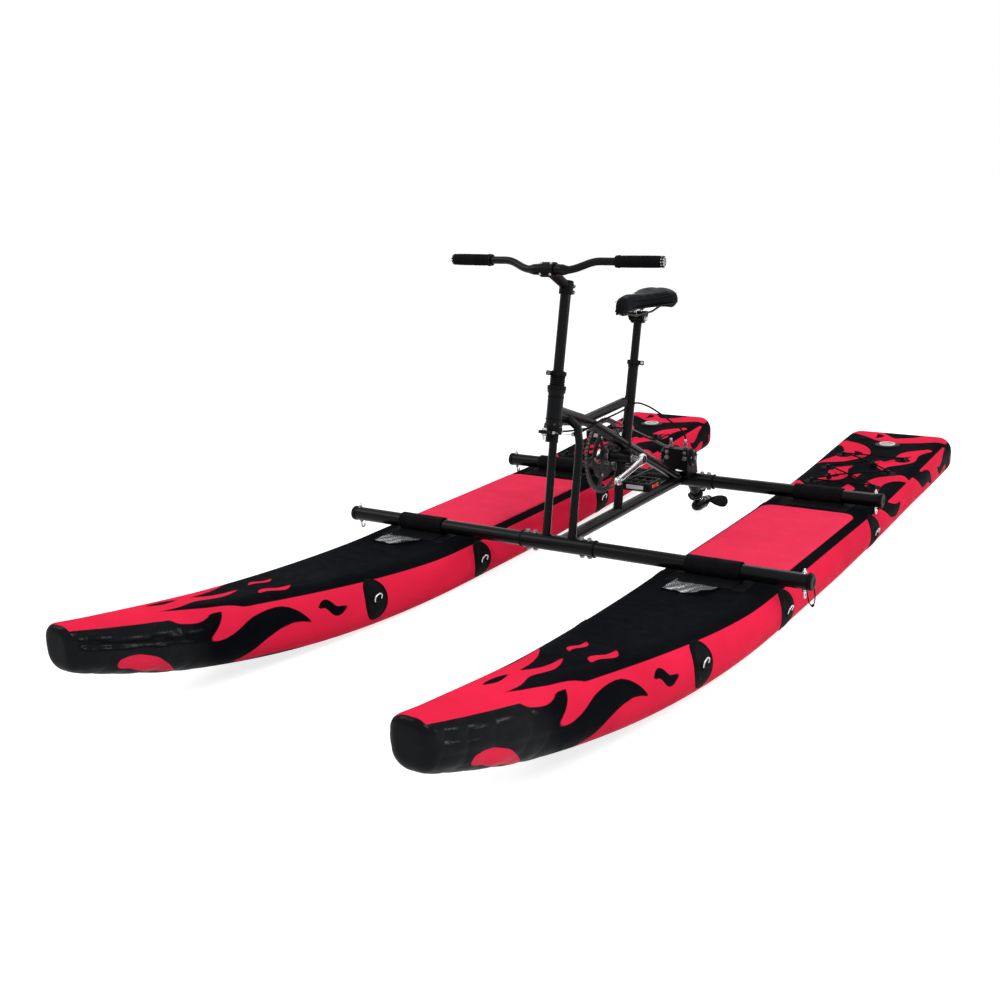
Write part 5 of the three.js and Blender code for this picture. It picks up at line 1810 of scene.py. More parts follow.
@dataclass
class MainFrame:
    """The kept tubes of the frame with their welds, bearing cups, cable stops and trim rings."""

    tubes: tuple = (
        "keel_beam", "leg_left", "leg_right", "frame_spine", "rear_stay", "seat_tube", "lower_post",
        "bracket_shell", "head_tube",
    )

    def build(self) -> None:
        """Dresses the tubes and adds what is welded and bolted to them."""
        for node in self.tubes:
            dress(node, BLACK_ALLOY, 0.7)
        for node in ("lower_headset_cup", "upper_headset_cup", "seat_collar"):
            dress(node, CAST_BLACK, 0.8)
        self.welds()
        self.bracket_cups()
        self.clips()
        self.trims()

    def welds(self) -> None:
        """A bead round each place where one tube runs into another."""
        spine_way = unit((0, 1, -0.508))
        beads = []

        def weld(
            foot: Array,
            way: Array,
            radius: float,
            other: Array,
            other_way: Array,
            other_radius: float,
            size: float = 3.4,
        ) -> None:
            """Adds the bead round one tube where it meets another."""
            beads.append(
                bead(saddle_line(foot, way, radius, other, other_way, other_radius), unit(way), size)
            )

        weld((0, FRONT_BAR_Y, BAR_Z), AFT, 20.2, (0, FRONT_BAR_Y, BAR_Z), ACROSS, 25.2)
        weld((0, REAR_BAR_Y, BAR_Z), (0, -1, 0), 20.2, (0, REAR_BAR_Y, BAR_Z), ACROSS, 25.2)
        for _, sign in SIDES:
            foot = point(sign * 45, 0, BAR_Z)
            shoulder = point(sign * 45, 65, 506)
            weld(foot, shoulder - foot, 12.9, foot, ACROSS, 25.2, 3.2)
        weld(point(0, 384, BAR_Z), BRACKET - point(0, 384, BAR_Z), 15.2, (0, 0, BAR_Z), AFT, 20.2)
        weld(BRACKET, point(0, 384, BAR_Z) - BRACKET, 15.2, BRACKET, ACROSS, 21.2)
        weld(BRACKET + [0, 6, 0], MAST.up, 17.2, BRACKET, ACROSS, 21.2)
        seat_way = MAST.up
        top_a, top_b = point(0, 180, 533), point(0, 437, 542)
        weld(top_b, top_a - top_b, 15.2, MAST.at(0, 0, 0), seat_way, 17.3)
        end = KNEE + spine_way * (437 - 188) / spine_way[1]
        weld(end, -spine_way, 17.2, MAST.at(0, 0, 0), seat_way, 17.3)
        weld(end, spine_way, 17.2, MAST.at(0, 0, 0), seat_way, 17.3)
        tail = KNEE + spine_way * (878 - 188) / spine_way[1]
        weld(tail, -spine_way, 17.2, (0, REAR_BAR_Y, BAR_Z), ACROSS, 25.2)
        place(joined(beads), "frame_welds", WELD, "frame", "black_alloy", sharp=70)

    def bracket_cups(self) -> None:
        """The notched bearing cups at both ends of the bracket shell."""
        cups, steel = [], []
        for _, sign in SIDES:
            foot = BRACKET + [sign * 33.4, 0, 0]
            ring = circle(1, 96)
            notch = np.where(np.abs(np.mod(np.arange(96), 12) - 6) < 3, 1.0, 0.9)
            rows = [
                (15, 0.6), (23.6, 0.6), (24.2, 1.4), (24.2, 4.6), (23.4, 5.6), (13, 5.6), (10.5, 4.6),
                (9.6, 4.6),
            ]
            grid = np.stack([coords(sign * z, *(ring.T * r * (notch if 20 < r else 1))) for r, z in rows])
            cups.append(skin(grid + foot, caps=False))
            steel.append(washer(foot + [sign * 5.4, 0, 0], (sign, 0, 0), 24, 17.4, 2))
        place(joined(cups), "bracket_cups", CAST_BLACK, "frame", "cast_alloy")
        place(joined(steel), "bracket_seals", STEEL, "frame", "steel")

    def clips(self) -> None:
        """The cable stops on the legs with their bright adjusters."""
        stops, bright = [], []
        for _, sign in SIDES:
            foot = point(sign * 27, 56.6, 513)
            stops.append(
                lathe(
                    [(3.2, 0), (6.4, 0), (6.6, 1), (6.6, 13.6), (5.6, 14.8), (3.2, 14.8)], foot, AFT, 30,
                    closed=True,
                )
            )
            bright.append(
                lathe(
                    [(1.2, -7), (2.6, -7), (3.0, -6.5), (3.0, 0.2), (1.2, 0.2)], foot, AFT, 20, closed=True
                )
            )
            knurl = 5.0 + 0.35 * (np.arange(36) % 2)
            ring = circle(1, 36) * knurl[:, None]
            rows = [coords(ring[:, 0], y, ring[:, 1]) for y in (-4.2, -1.2)]
            bright.append(skin(np.stack(rows) + foot))
        place(joined(stops), "cable_stops", CAST_BLACK, "frame", "cast_alloy")
        place(joined(bright), "cable_adjusters", STEEL, "frame", "steel")

    def trims(self) -> None:
        """The rings that trim the head tube and the seat tube."""
        trims = [
            lathe([(24.1, z), (25.2, z + 0.6), (25.2, z + 3.4), (24.1, z + 4)], HEAD.foot, HEAD.up, 64)
            for z in (86, 20)
        ]
        trims.append(
            lathe([(17.1, 302), (18.2, 302.6), (18.2, 306.6), (17.1, 307.4)], MAST.foot, MAST.up, 64)
        )
        place(joined(trims), "tube_trims", WELD, "frame", "black_alloy")


# Steering: the column, the handlebar and the clamp levers.


@dataclass
class Steering:
    """The column with its arm, the handlepost, stem, handlebar, grips, clamp lever and inner wires."""

    grip_from: float = 212.0
    grip_to: float = 342.0
    stem_bolt_heights: tuple = (398.0, 416.0)

    def build(self) -> None:
        """Dresses the kept parts and makes the rest."""
        for node in ("steering_column", "post_collar"):
            dress(node, CAST_BLACK, 0.9)
        dress("headset_spacers", PLASTIC, 0.5)
        dress("handlepost", BLACK_ALLOY, 0.5)
        for node in ("stem", "stem_faceplate"):
            dress(node, CAST_BLACK, 1.0)
        self.handlebar()
        for side, sign in SIDES:
            self.grip(side, sign)
        self.stem_bolts()
        self.arm()
        lever(HEAD, 149.9, 51.0, 13.0, math.radians(215), "post_lever")

    def spine(self, sign: float, steps: int = 110) -> Array:
        """The middle line of one half of the handlebar, from its centre to its end."""
        knots = [
            (0, 0, 0), (34, 0, 0), (66, 0.1, 0.2), (88, 4.2, 4.6), (108, 10.5, 11.5), (128, 15.4, 18.6),
            (150, 18.2, 22.8), (185, 20.4, 23), (240, 23.9, 23), (295, 27.5, 23), (350, 31, 23),
        ]
        return smooth_path([(sign * x, y, z) for x, y, z in knots], steps) + BAR_CENTRE

    def handlebar(self) -> None:
        """A riser bar, thick in the clamp and thinner from there on, with a ring at each side of the clamp.
        """
        right, left = self.spine(-1), self.spine(1)
        path = np.vstack([right[::-1], left[1:]])
        reach = np.abs(path[:, 0])
        blend = np.clip((reach - 44) / 26, 0, 1)
        radius = 15.9 + (11.1 - 15.9) * blend * blend * (3 - 2 * blend)
        section = circle(1, 36)[None] * radius[:, None, None]
        bar = sweep(path, section, up=(0, 0.3, 1))
        place(bar, "riser_bar", BLACK_ALLOY, "handlepost", "black_alloy", replaces=("handlebar",))
        rings = [
            lathe(
                [(16.0, -1.2), (16.5, -0.6), (16.5, 0.6), (16.0, 1.2)], BAR_CENTRE + [x, 0, 0], ACROSS, 48
            )
            for x in (-34, 34)
        ]
        place(joined(rings), "bar_rings", CAST_BLACK, "handlepost", "cast_alloy")

    def grip(self, side: str, sign: float) -> None:
        """A rubber grip with a waffle of small blocks, a plain band at each end, an end plug with bright
        studs and a lock ring.

        Args:
            side: The grip's side.
            sign: 1 on the left and -1 on the right.
        """
        path = self.spine(sign, 400)
        reach = np.abs(path[:, 0])
        start = np.array([np.interp(self.grip_from, reach, path[:, k]) for k in range(3)])
        end = np.array([np.interp(self.grip_to, reach, path[:, k]) for k in range(3)])
        axis = unit(end - start)
        across = unit(np.cross(axis, [0, 0, 1]))
        beside = np.cross(axis, across)
        length = np.linalg.norm(end - start)
        t = np.linspace(0, length, 150)[:, None]
        a = (np.arange(96) * TAU / 96)[None]
        blocks = np.clip(1.6 * np.cos(TAU * t / 7.2) * np.cos(14 * a), -1, 1) * 0.55
        plain = (
            np.clip((t - 9) / 2, 0, 1) * np.clip((length - 7 - t) / 2, 0, 1)
            * (1 - 0.8 * np.exp(-(((t - length / 2) / 7) ** 2)))
        )
        swell = 0.5 * np.sin(math.pi * t / length)
        radius = (
            16.2 + swell + blocks * plain + 2.2 * np.exp(-(((t - 3.6) / 3) ** 2)) - 2.4 * np.exp(-t / 0.5)
            - 1.6 * np.exp(-(length - t) / 0.6)
        )
        points = (
            start + t[..., None] * axis
            + radius[..., None] * (np.cos(a)[..., None] * across + np.sin(a)[..., None] * beside)
        )
        place(
            skin(points), f"grip_sleeve_{side}", RUBBER, "handlepost", "rubber", replaces=(f"grip_{side}",),
            sharp=60,
        )
        plug = [(0, 0), (15.6, 0), (16.4, 1), (16.4, 5.6), (15.2, 7.2), (11, 7.6), (4.2, 7.2), (0, 7.2)]
        place(lathe(plug, end, axis, 48), f"bar_end_plug_{side}", PLASTIC, "handlepost", "plastic")
        dome = [(2.6, -0.6), (2.5, 0.5), (1.6, 1.2), (0, 1.5)]
        spots = (
            [(0.0, 0.0)] + [(11.2 * math.cos(k * TAU / 9), 11.2 * math.sin(k * TAU / 9)) for k in range(9)]
        )
        spots += [(5.8 * math.cos(k * TAU / 5), 5.8 * math.sin(k * TAU / 5)) for k in range(5)]
        studs = [lathe(dome, end + 7.2 * axis + u * across + v * beside, axis, 16) for u, v in spots]
        studs += [
            lathe(
                dome, end + 3.4 * axis + 15.2 * (math.cos(b) * across + math.sin(b) * beside),
                math.cos(b) * across + math.sin(b) * beside, 16,
            )
            for b in np.arange(12) * TAU / 12
        ]
        place(joined(studs), f"bar_end_studs_{side}", STEEL, "handlepost", "steel")
        lock = lathe(
            [(11.2, -5.6), (16.6, -5.6), (17.2, -5), (17.2, -0.6), (16.6, 0), (11.2, 0)], start, axis, 48,
            closed=True,
        )
        place(lock, f"grip_lock_{side}", CAST_BLACK, "handlepost", "cast_alloy")

    def stem_bolts(self) -> None:
        """The four faceplate bolts, the two clamp bolts behind the post and the cap on the post."""
        front = HEAD.way(0, -1, 0)
        bolts = []
        for x in (-16.5, 16.5):
            for z in (-15.5, 15.5):
                foot = BAR_CENTRE + HEAD.way(x, -15.6, z)
                bolts.append(cap_screw(foot, front, 6.6, 4.4))
        for z in self.stem_bolt_heights:
            bolts.append(cap_screw(HEAD.at(17.0, 14.5, z), HEAD.way(1, 0, 0), 8.4, 5.0))
        bolts.append(cap_screw(HEAD.at(0, 0, 427.8), HEAD.up, 11, 4.6))
        place(joined(bolts), "stem_bolts", STEEL, "handlepost", "steel")
        cap = lathe(
            [(0, 427.6), (18.6, 427.6), (19.2, 428.4), (18.0, 430.2), (8, 431), (0, 431)], HEAD.foot,
            HEAD.up, 56,
        )
        ear = []
        for z in self.stem_bolt_heights:
            ear.append(tube(HEAD.at(-14, 19.5, z), HEAD.at(17, 19.5, z), 12, chamfer=1.5, sides=28))
        place(cap + joined(ear), "stem_cap", CAST_BLACK, "handlepost", "cast_alloy")

    def arm(self) -> None:
        """The bolts of the column's arm and collar, and the inner wires from the arm to the stops."""
        low, high = HEAD.way(0, 0, -1), HEAD.up
        metal = [
            hex_bolt(HEAD.at(0, -49, -22.8), low, 13, 6, 18),
            hex_bolt(HEAD.at(0, -49, -12.4), high, 13, 5.4, 18),
        ]
        metal.append(tube(HEAD.at(0, -49, -30), HEAD.at(0, -49, -41), 7, chamfer=1, sides=24))
        for side, sign in SIDES:
            pin = HEAD.at(sign * 22.2, -32, -17.6)
            metal.append(cap_screw(pin - HEAD.way(sign * 3, 0, 0), HEAD.way(sign, 0, 0), 9, 5.6))
            stop = point(sign * 27, 50, 513)
            run = line(pin + [sign * 1.2, 0, 0], stop, 40)
            thing = place(wire(run, 1.9, up=UP, sides=8), f"inner_wire_{side}", STEEL, "", "steel")
            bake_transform(thing)
        place(joined(metal), "arm_bolts", STEEL, "steering_head", "steel")
        bolt = cap_screw(
            HEAD.at(*turned_about(31, -5.4, 215), 156.4), HEAD.way(*turned_about(0, -1, 215), 0), 10.5, 4.6
        )
        place(bolt, "collar_bolt", STEEL, "steering_head", "steel")


def turned_about(x: float, y: float, degrees: float) -> tuple[float, float]:
    """A pair turned by an angle round the origin."""
    a = math.radians(degrees)
    return x * math.cos(a) - y * math.sin(a), x * math.sin(a) + y * math.cos(a)


def lever(lean: Lean, foot: float, outer: float, height: float, angle: float, body: str) -> None:
    """A clamp lever: its pivot barrel beside the collar's ear and a curved blade along the collar.

    Args:
        lean: The frame of the post.
        foot: How far up the post the collar starts.
        outer: The collar's diameter.
        height: The collar's height.
        angle: Where round the post the ear is.
        body: The body and node of the lever.
    """
    x, y = outer / 2 + 5.5, 4.5 + 0.3 + 5.5
    middle = height / 2
    barrel = lathe(
        [(0, 0.2), (4.8, 0.2), (5.5, 0.9), (5.5, height - 0.9), (4.8, height - 0.2), (0, height - 0.2)],
        (x, y, 0), UP, 32,
    )
    spine = smooth_path(
        [
            (x, y, middle), (x + 0.6, y + 10, middle), (x - 0.4, y + 20, middle), (x - 3.2, y + 31, middle),
            (x - 5.4, y + 40, middle),
        ],
        26,
    )
    share = np.linspace(0, 1, 26)
    wide = (
        (height * 0.36 + 1.2 * np.sin(math.pi * share))
        * np.where(share > 0.9, np.sqrt(np.maximum(1 - ((share - 0.9) / 0.101) ** 2, 0.02)), 1)
    )
    base = rounded_box(2, 2, 0.7, 5)
    section = coords(base[None, :, 0] * 1.9 * np.ones((26, 1)), base[None, :, 1] * wide[:, None])
    blade = sweep(spine, section, up=UP)
    whole = (barrel + blade).turned(UP, angle).moved((0, 0, foot))
    place(lean.put(whole), f"{body}_blade", BLACK_ALLOY, body, "black_alloy", replaces=(body,))
    caps = lathe(
        [
            (0, height - 0.3), (3.4, height - 0.3), (3.4, height + 1.0), (2.6, height + 1.6),
            (0, height + 1.6),
        ],
        (x, y, 0), UP, 24,
    )
    caps = caps + lathe([(0, 0.3), (3.4, 0.3), (3.4, -0.8), (2.6, -1.4), (0, -1.4)], (x, y, 0), UP, 24)
    place(lean.put(caps.turned(UP, angle).moved((0, 0, foot))), f"{body}_pin", STEEL, body, "steel")


# Seat: the post, the rails and the padded saddle.


@dataclass
class Seat:
    """The seatpost, clamp lever, rails with their cradle, and the padded saddle."""

    length: float = 312.0
    width: float = 164.0
    nose_ahead: float = 139.0
    base_above: float = 34.0
    depth: float = 51.0
    skirt: float = 15.0

    @property
    def base(self) -> float:
        """The height of the saddle's shell."""
        return float(SEAT_PIVOT[2]) + self.base_above

    def build(self) -> None:
        """Makes the seat from the post up."""
        dress("seatpost", BLACK_ALLOY, 0.6)
        lever(MAST, 308.0, 44.0, 14.0, math.radians(20), "seat_lever")
        self.marks()
        self.rails()
        self.shell()
        self.cover()

    def marks(self) -> None:
        """Fine rings on the seatpost and the bolt of its collar."""
        rings = [
            lathe([(13.5, z), (13.9, z + 0.3), (13.9, z + 0.9), (13.5, z + 1.2)], MAST.foot, MAST.up, 48)
            for z in (418, 434)
        ]
        place(joined(rings), "seatpost_rings", BLACK_ALLOY, "seatpost", "black_alloy")
        collar = cap_screw(
            MAST.at(*turned_about(27.5, -5.0, 20), 315), MAST.way(*turned_about(0, -1, 20), 0), 9.5, 4.4
        )
        place(collar, "seat_bolt", STEEL, "frame", "steel")

    def rails(self) -> None:
        """Two bent steel rails, and the cradle with its clamp plates and bolts."""
        _, y0, z0 = SEAT_PIVOT
        flat, top = z0 + 17.8, self.base - 3.8
        rails = []
        for _, sign in SIDES:
            knots = [
                (11, -128, top), (13, -112, top - 1), (19, -84, flat + 5.5), (22, -60, flat + 0.4),
                (22, -30, flat), (22, 30, flat), (22, 58, flat + 0.4), (23, 84, flat + 5.5),
                (25, 106, top - 1.5), (26, 116, top),
            ]
            rails.append(
                wire(smooth_path([(sign * x, y + y0, z) for x, y, z in knots], 90), 7, up=ACROSS, sides=16)
            )
        place(joined(rails), "saddle_rail_pair", DARK_STEEL, "saddle", "steel", replaces=("saddle_rails",))
        plate = rounded_box(50, 52, 5, 6)
        clamp = slab(plate, flat + 0.6, flat + 5.6, 1.4, (0, y0, 0), ACROSS, AFT)
        cheeks = []
        for _, sign in SIDES:
            cheek = [(-25, 7), (-22, 11), (22, 11), (25, 7), (18, -4), (8, -10), (-8, -10), (-18, -4)]
            place_at = (sign * 22 - 3.5, y0, z0 + 6)
            cheeks.append(slab(smooth_path(cheek + [cheek[0]], 49)[:-1], 0, 7, 1.2, place_at, AFT, UP))
        place(clamp + joined(cheeks), "saddle_cradle", CAST_BLACK, "saddle", "cast_alloy")
        bolts = [cap_screw((0, y0 + y, flat + 5.4), UP, 9, 4) for y in (-18, 18)]
        bolts += [hex_bolt((sign * 25.6, y0, z0 + 1), (sign, 0, 0), 13, 5.4, 17) for _, sign in SIDES]
        place(joined(bolts), "cradle_bolts", STEEL, "saddle", "steel")

    def along(self, t: float | Array) -> float | Array:
        """The place along the boat at a share of the saddle's length from its nose."""
        return SEAT_PIVOT[1] - self.nose_ahead + self.length * t

    def outline(self, t: Array) -> tuple[Array, Array]:
        """Half the saddle's width and its crown's height at shares of its length from the nose.

        Args:
            t: The shares, from zero to one.

        Returns:
            Both sizes, each with the shape of t.
        """
        at = [0, 0.03, 0.09, 0.2, 0.34, 0.48, 0.6, 0.7, 0.8, 0.9, 0.96, 1]
        wide = np.interp(t, at, [0.12, 0.22, 0.285, 0.32, 0.35, 0.46, 0.64, 0.83, 0.97, 0.99, 0.87, 0.62])
        high = np.interp(t, at, [0.55, 0.8, 0.94, 0.97, 0.9, 0.83, 0.83, 0.88, 0.96, 1.0, 0.92, 0.7])
        return wide * self.width / 2, high * self.depth

    def ring(self, t: float, inset: float) -> Array:
        """One section of the pad from its nose: a crown with a shallow channel over tucked sides.

        Args:
            t: The share of the saddle's length.
            inset: How far the section lies inside the outline.

        Returns:
            The points of the section, counted round.
        """
        half, high = (float(v) for v in self.outline(np.array(t)))
        half, high = max(half - inset, 2.0), high - inset
        a = np.linspace(0, math.pi, 37)
        across = np.sign(np.cos(a)) * np.abs(np.cos(a)) ** 0.72
        up = np.sin(a) ** 0.62
        channel = 3.4 * math.exp(-(((t - 0.72) / 0.2) ** 2)) * np.exp(-((across * half / 9.0) ** 2))
        y = self.along(t)
        low = self.base + inset
        droop = self.skirt * (math.exp(-(((1 - t) / 0.2) ** 2)) + 0.9 * math.exp(-((t / 0.13) ** 2)))
        side = low + 0.25 * high - 0.6 * droop
        top = coords(half * across, y, side + (low + high - side) * up - channel)
        under = line((-half * 0.8, y, low), (half * 0.8, y, low), 17)
        under[:, 2] -= droop * np.clip((np.abs(under[:, 0]) / half - 0.5) / 0.2, 0, 1)
        return np.vstack([top, under])

    def shell(self) -> None:
        """The hard base under the pad."""
        shares = np.linspace(0.012, 0.99, 60)
        rings = []
        for t in shares:
            half = float(self.outline(np.array(t))[0])
            y = self.along(t)
            a = np.linspace(math.pi, TAU, 19)
            under = coords(half * 0.93 * np.cos(a), y, self.base + 6.5 + 6.2 * np.sin(a))
            over = line((half * 0.86, y, self.base + 8), (-half * 0.86, y, self.base + 8), 9)
            rings.append(np.vstack([under, over]))
        place(skin(np.stack(rings)), "saddle_shell", PLASTIC, "saddle", "plastic")

    def cover(self) -> None:
        """The pad, inflated a little inside its cover by a short cloth run, and its seams."""
        inset = 2.2
        shares = np.concatenate([[0.0, 0.008, 0.02], np.linspace(0.04, 0.96, 70), [0.978, 0.992, 1.0]])
        grid = np.stack([self.ring(float(t), inset + (3.0 if t in (0.0, 1.0) else 0.0)) for t in shares])
        pad = place(skin(grid), "saddle_pad", SADDLE, "", "saddle_cover", replaces=("saddle",), sharp=180)
        inflate(pad, voxel=0.005, pressure=4.0, most=0.004)
        finer = pad.modifiers.new("finer", "SUBSURF")
        finer.levels = finer.render_levels = 1
        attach(pad, "saddle")
        seams = []
        for _, sign in SIDES:
            t = np.linspace(0.05, 0.93, 90)
            half, high = self.outline(t)
            a = 0.52
            across, up = math.cos(a) ** 0.72, math.sin(a) ** 0.62
            y = self.along(t)
            z = self.base + 0.25 * high + 0.75 * high * up
            seams.append(
                wire(coords(sign * (half * across + 0.3), y, z + 0.1), 1.7, up=(1, 0, 0.2), sides=8)
            )
            t = np.linspace(0.02, 0.985, 110)
            half, _ = self.outline(t)
            y = self.along(t)
            seams.append(wire(coords(sign * half * 0.84, y, self.base + 3.5), 2.6, up=UP, sides=8))
        place(joined(seams), "saddle_piping", THREAD, "saddle", "saddle_cover")


def inflate(pad: bpy.types.Object, voxel: float, pressure: float, most: float) -> None:
    """Remeshes a pad, blows it up as cloth for some frames and keeps the result.

    Args:
        pad: The pad, which changes in place.
        voxel: The size of the even mesh in metres.
        pressure: The air pressure in it.
        most: How far a point may move in metres.
    """
    even = pad.modifiers.new("even", "REMESH")
    even.mode, even.voxel_size, even.use_smooth_shade = "VOXEL", voxel, True
    bake(pad)
    start = positions(pad.data)
    cloth = pad.modifiers.new("cloth", "CLOTH")
    cloth.settings.use_pressure = True
    cloth.settings.uniform_pressure_force = pressure
    cloth.settings.effector_weights.gravity = 0.0
    cloth.point_cache.frame_start, cloth.point_cache.frame_end = 1, 20
    for step in range(1, 21):
        bpy.context.scene.frame_set(step)
    bake(pad)
    bpy.context.scene.frame_set(1)
    moved = positions(pad.data) - start
    reach = np.linalg.norm(moved, axis=1, keepdims=True)
    kept = start + moved * np.minimum(1.0, most / np.maximum(reach, 1e-9))
    pad.data.vertices.foreach_set("co", kept.astype(np.float32).ravel())
    pad.data.update()
    LOG.info("%s: inflated, largest move %.1f mm", pad.name, float(reach.max()) * 1000)


def positions(mesh: bpy.types.Mesh) -> Array:
    """The mesh's points as rows.

    Args:
        mesh: The mesh.

    Returns:
        One row for each point, in metres.
    """
    flat = np.empty(len(mesh.vertices) * 3, np.float32)
    mesh.vertices.foreach_get("co", flat)
    return flat.reshape(-1, 3).astype(float)


def bake(thing: bpy.types.Object) -> None:
    """Puts the result of an object's modifiers into its mesh and removes them.

    Args:
        thing: The object, which changes in place.
    """
    graph = bpy.context.evaluated_depsgraph_get()
    made = bpy.data.meshes.new_from_object(thing.evaluated_get(graph))
    thing.modifiers.clear()
    thing.data = made
    made.polygons.foreach_set("use_smooth", np.ones(len(made.polygons), bool))


# Drive: cranks, pedals, chain and housing.


def toothed(
    teeth: int,
    root: float,
    tip: float,
    inner: float,
    half: float,
    phase: float,
    samples: int = 10,
) -> Shell:
    """A flat toothed ring across X round the origin.

    Args:
        teeth: The number of teeth.
        root: The radius between the teeth.
        tip: The radius of their tips.
        inner: The radius of the hole.
        half: Half of its thickness.
        phase: The angle of the first tooth's middle.
        samples: Points along the rim for each tooth.

    Returns:
        The ring.
    """
    count = teeth * samples
    angle = np.arange(count) * TAU / count
    wave = np.cos((angle - phase) * teeth)
    rim = root + (tip - root) * np.clip(0.5 + 0.95 * wave, 0, 1) ** 0.85
    share = np.clip((rim - root) / (tip - root), 0, 1)
    rows = [
        (inner, -half),
        (root - 2.5, -half),
        (rim - 0.3, -half * (1 - 0.55 * share)),
        (rim, -0.3 * half * (1 - 0.3 * share)),
        (rim, 0.3 * half * (1 - 0.3 * share)),
        (rim - 0.3, half * (1 - 0.55 * share)),
        (root - 2.5, half),
        (inner, half),
    ]
    grid = np.stack([coords(x, r * np.cos(angle), r * np.sin(angle)) for r, x in rows])
    return skin(grid, wrap_rows=True, caps=False)


@dataclass
class Drive:
    """The cranks, chainring, pedals, chain, rear sprocket and the small parts of the drive housing."""

    crank_foot: float = 69.1
    crank_thick: float = 14.0
    pedal_foot: float = 109.1
    front_teeth: int = 60
    rear_teeth: int = 16
    ring_root: float = 117.6
    ring_tip: float = 124.6
    ring_inner: float = 107.5
    bolt_circle: float = 66.0

    @property
    def front_radius(self) -> float:
        """The chainring's pitch radius."""
        return PITCH / 2 / math.sin(math.pi / self.front_teeth)

    @property
    def rear_radius(self) -> float:
        """The rear sprocket's pitch radius."""
        return PITCH / 2 / math.sin(math.pi / self.rear_teeth)

    def crank_end(self, sign: float) -> Array:
        """The middle of a pedal spindle."""
        return BRACKET + sign * CRANK_LENGTH * np.array([0, -math.cos(CRANK_DROP), -math.sin(CRANK_DROP)])

    def build(self) -> None:
        """Makes all pieces of the drive."""
        dress("bracket_axle", GREY_STEEL, 0.5)
        dress("cross_shaft", GREY_STEEL, 0.4)
        dress("drive_housing", CAST_BLACK, 1.2)
        for side, sign in SIDES:
            self.crank(side, sign)
            self.pedal(side, sign)
        self.chainring()
        self.sprocket()
        self.chain()
        self.housing()

    def crank(self, side: str, sign: float) -> None:
        """A forged crank with a waisted arm, its hub and pedal eye, dust cap and spindle.

        Args:
            side: The crank's side.
            sign: 1 on the left and -1 on the right.
        """
        way = unit(self.crank_end(sign) - BRACKET)
        off = np.cross([1, 0, 0], way)
        turn = np.linspace(0, math.pi / 2, 12)
        start, stop = -18 * np.cos(turn), CRANK_LENGTH + 13 * np.sin(turn)
        body = np.linspace(0, CRANK_LENGTH, 60)
        at = np.concatenate([start[:-1], body, stop[1:]])
        inner = np.interp(body, [0, 14, 40, 120, 155, CRANK_LENGTH], [18, 17, 11.5, 9.6, 11.4, 13])
        half = np.concatenate([18 * np.sin(turn[:-1]) + 0.3, inner, 13 * np.cos(turn[1:]) + 0.3])
        thick = np.interp(at, [-18, -6, 18, 50, 130, 160, 186], [12.5, 14, 14, 10.4, 9.4, 12, 11])
        section = rounded_box(2, 2, 0.62, 7)
        corner = np.abs(section) ** 0.8 * np.sign(section)
        rings = []
        for t, h, w in zip(at, half, thick):
            x = (
                sign
                * (
                    self.crank_foot + self.crank_thick / 2
                    + (self.crank_thick / 2 - w / 2) * min(1, max(0, 1 - (t - 60) / 60))
                )
            )
            middle = BRACKET + way * t + [x, 0, 0]
            rings.append(middle + corner[:, :1] * w / 2 * np.array([1, 0, 0]) + corner[:, 1:] * h * off)
        arm = skin(np.stack(rings))
        hub = tube(
            BRACKET + [sign * (self.crank_foot - 0.2), 0, 0],
            BRACKET + [sign * (self.crank_foot + 14.2), 0, 0], 34, chamfer=1.6, sides=56,
        )
        end = self.crank_end(sign)
        eye = tube(
            end + [sign * (self.crank_foot + 0.4), 0, 0],
            end + [sign * (self.crank_foot + self.crank_thick), 0, 0], 25, chamfer=1.4, sides=48,
        )
        place(
            arm + hub + eye, f"crank_arm_{side}", BRIGHT, "crankset", "polished_alloy",
            replaces=(f"crank_{side}",),
        )
        cap = [
            (0, 14.0), (12, 14.0), (12.4, 14.8), (11, 16.2), (8.5, 16.4), (7.5, 15.2), (4.6, 15.2),
            (4.2, 13.2), (0, 13.2),
        ]
        place(
            lathe(cap, BRACKET + [sign * self.crank_foot, 0, 0], (sign, 0, 0), 48), f"crank_cap_{side}",
            PLASTIC, "crankset", "plastic",
        )
        neck = lathe(
            [(0, 0), (8.2, 0), (8.2, 9), (6.8, 10.4), (5.0, 11), (5.0, 26), (5.0, 100), (0, 100)],
            end + [sign * (self.crank_foot + 13.6), 0, 0], (sign, 0, 0), 36,
        )
        flats = hexagon(end + [sign * (self.crank_foot + 14.4), 0, 0], (sign, 0, 0), 16.6, 6)
        place(neck + flats, f"pedal_spindle_{side}", STEEL, "crankset", "steel")

    def pedal(self, side: str, sign: float) -> None:
        """A platform pedal: a ribbed moulded body with teeth along both edges and three reflectors.

        Args:
            side: The pedal's side.
            sign: 1 on the left and -1 on the right.
        """
        end = self.crank_end(sign) + [sign * self.pedal_foot, 0, 0]
        body = f"pedal_{side}"

        def spot(x: float, y: float, z: float) -> Array:
            """A point of the pedal, X going outwards."""
            return end + [sign * x, y, z]

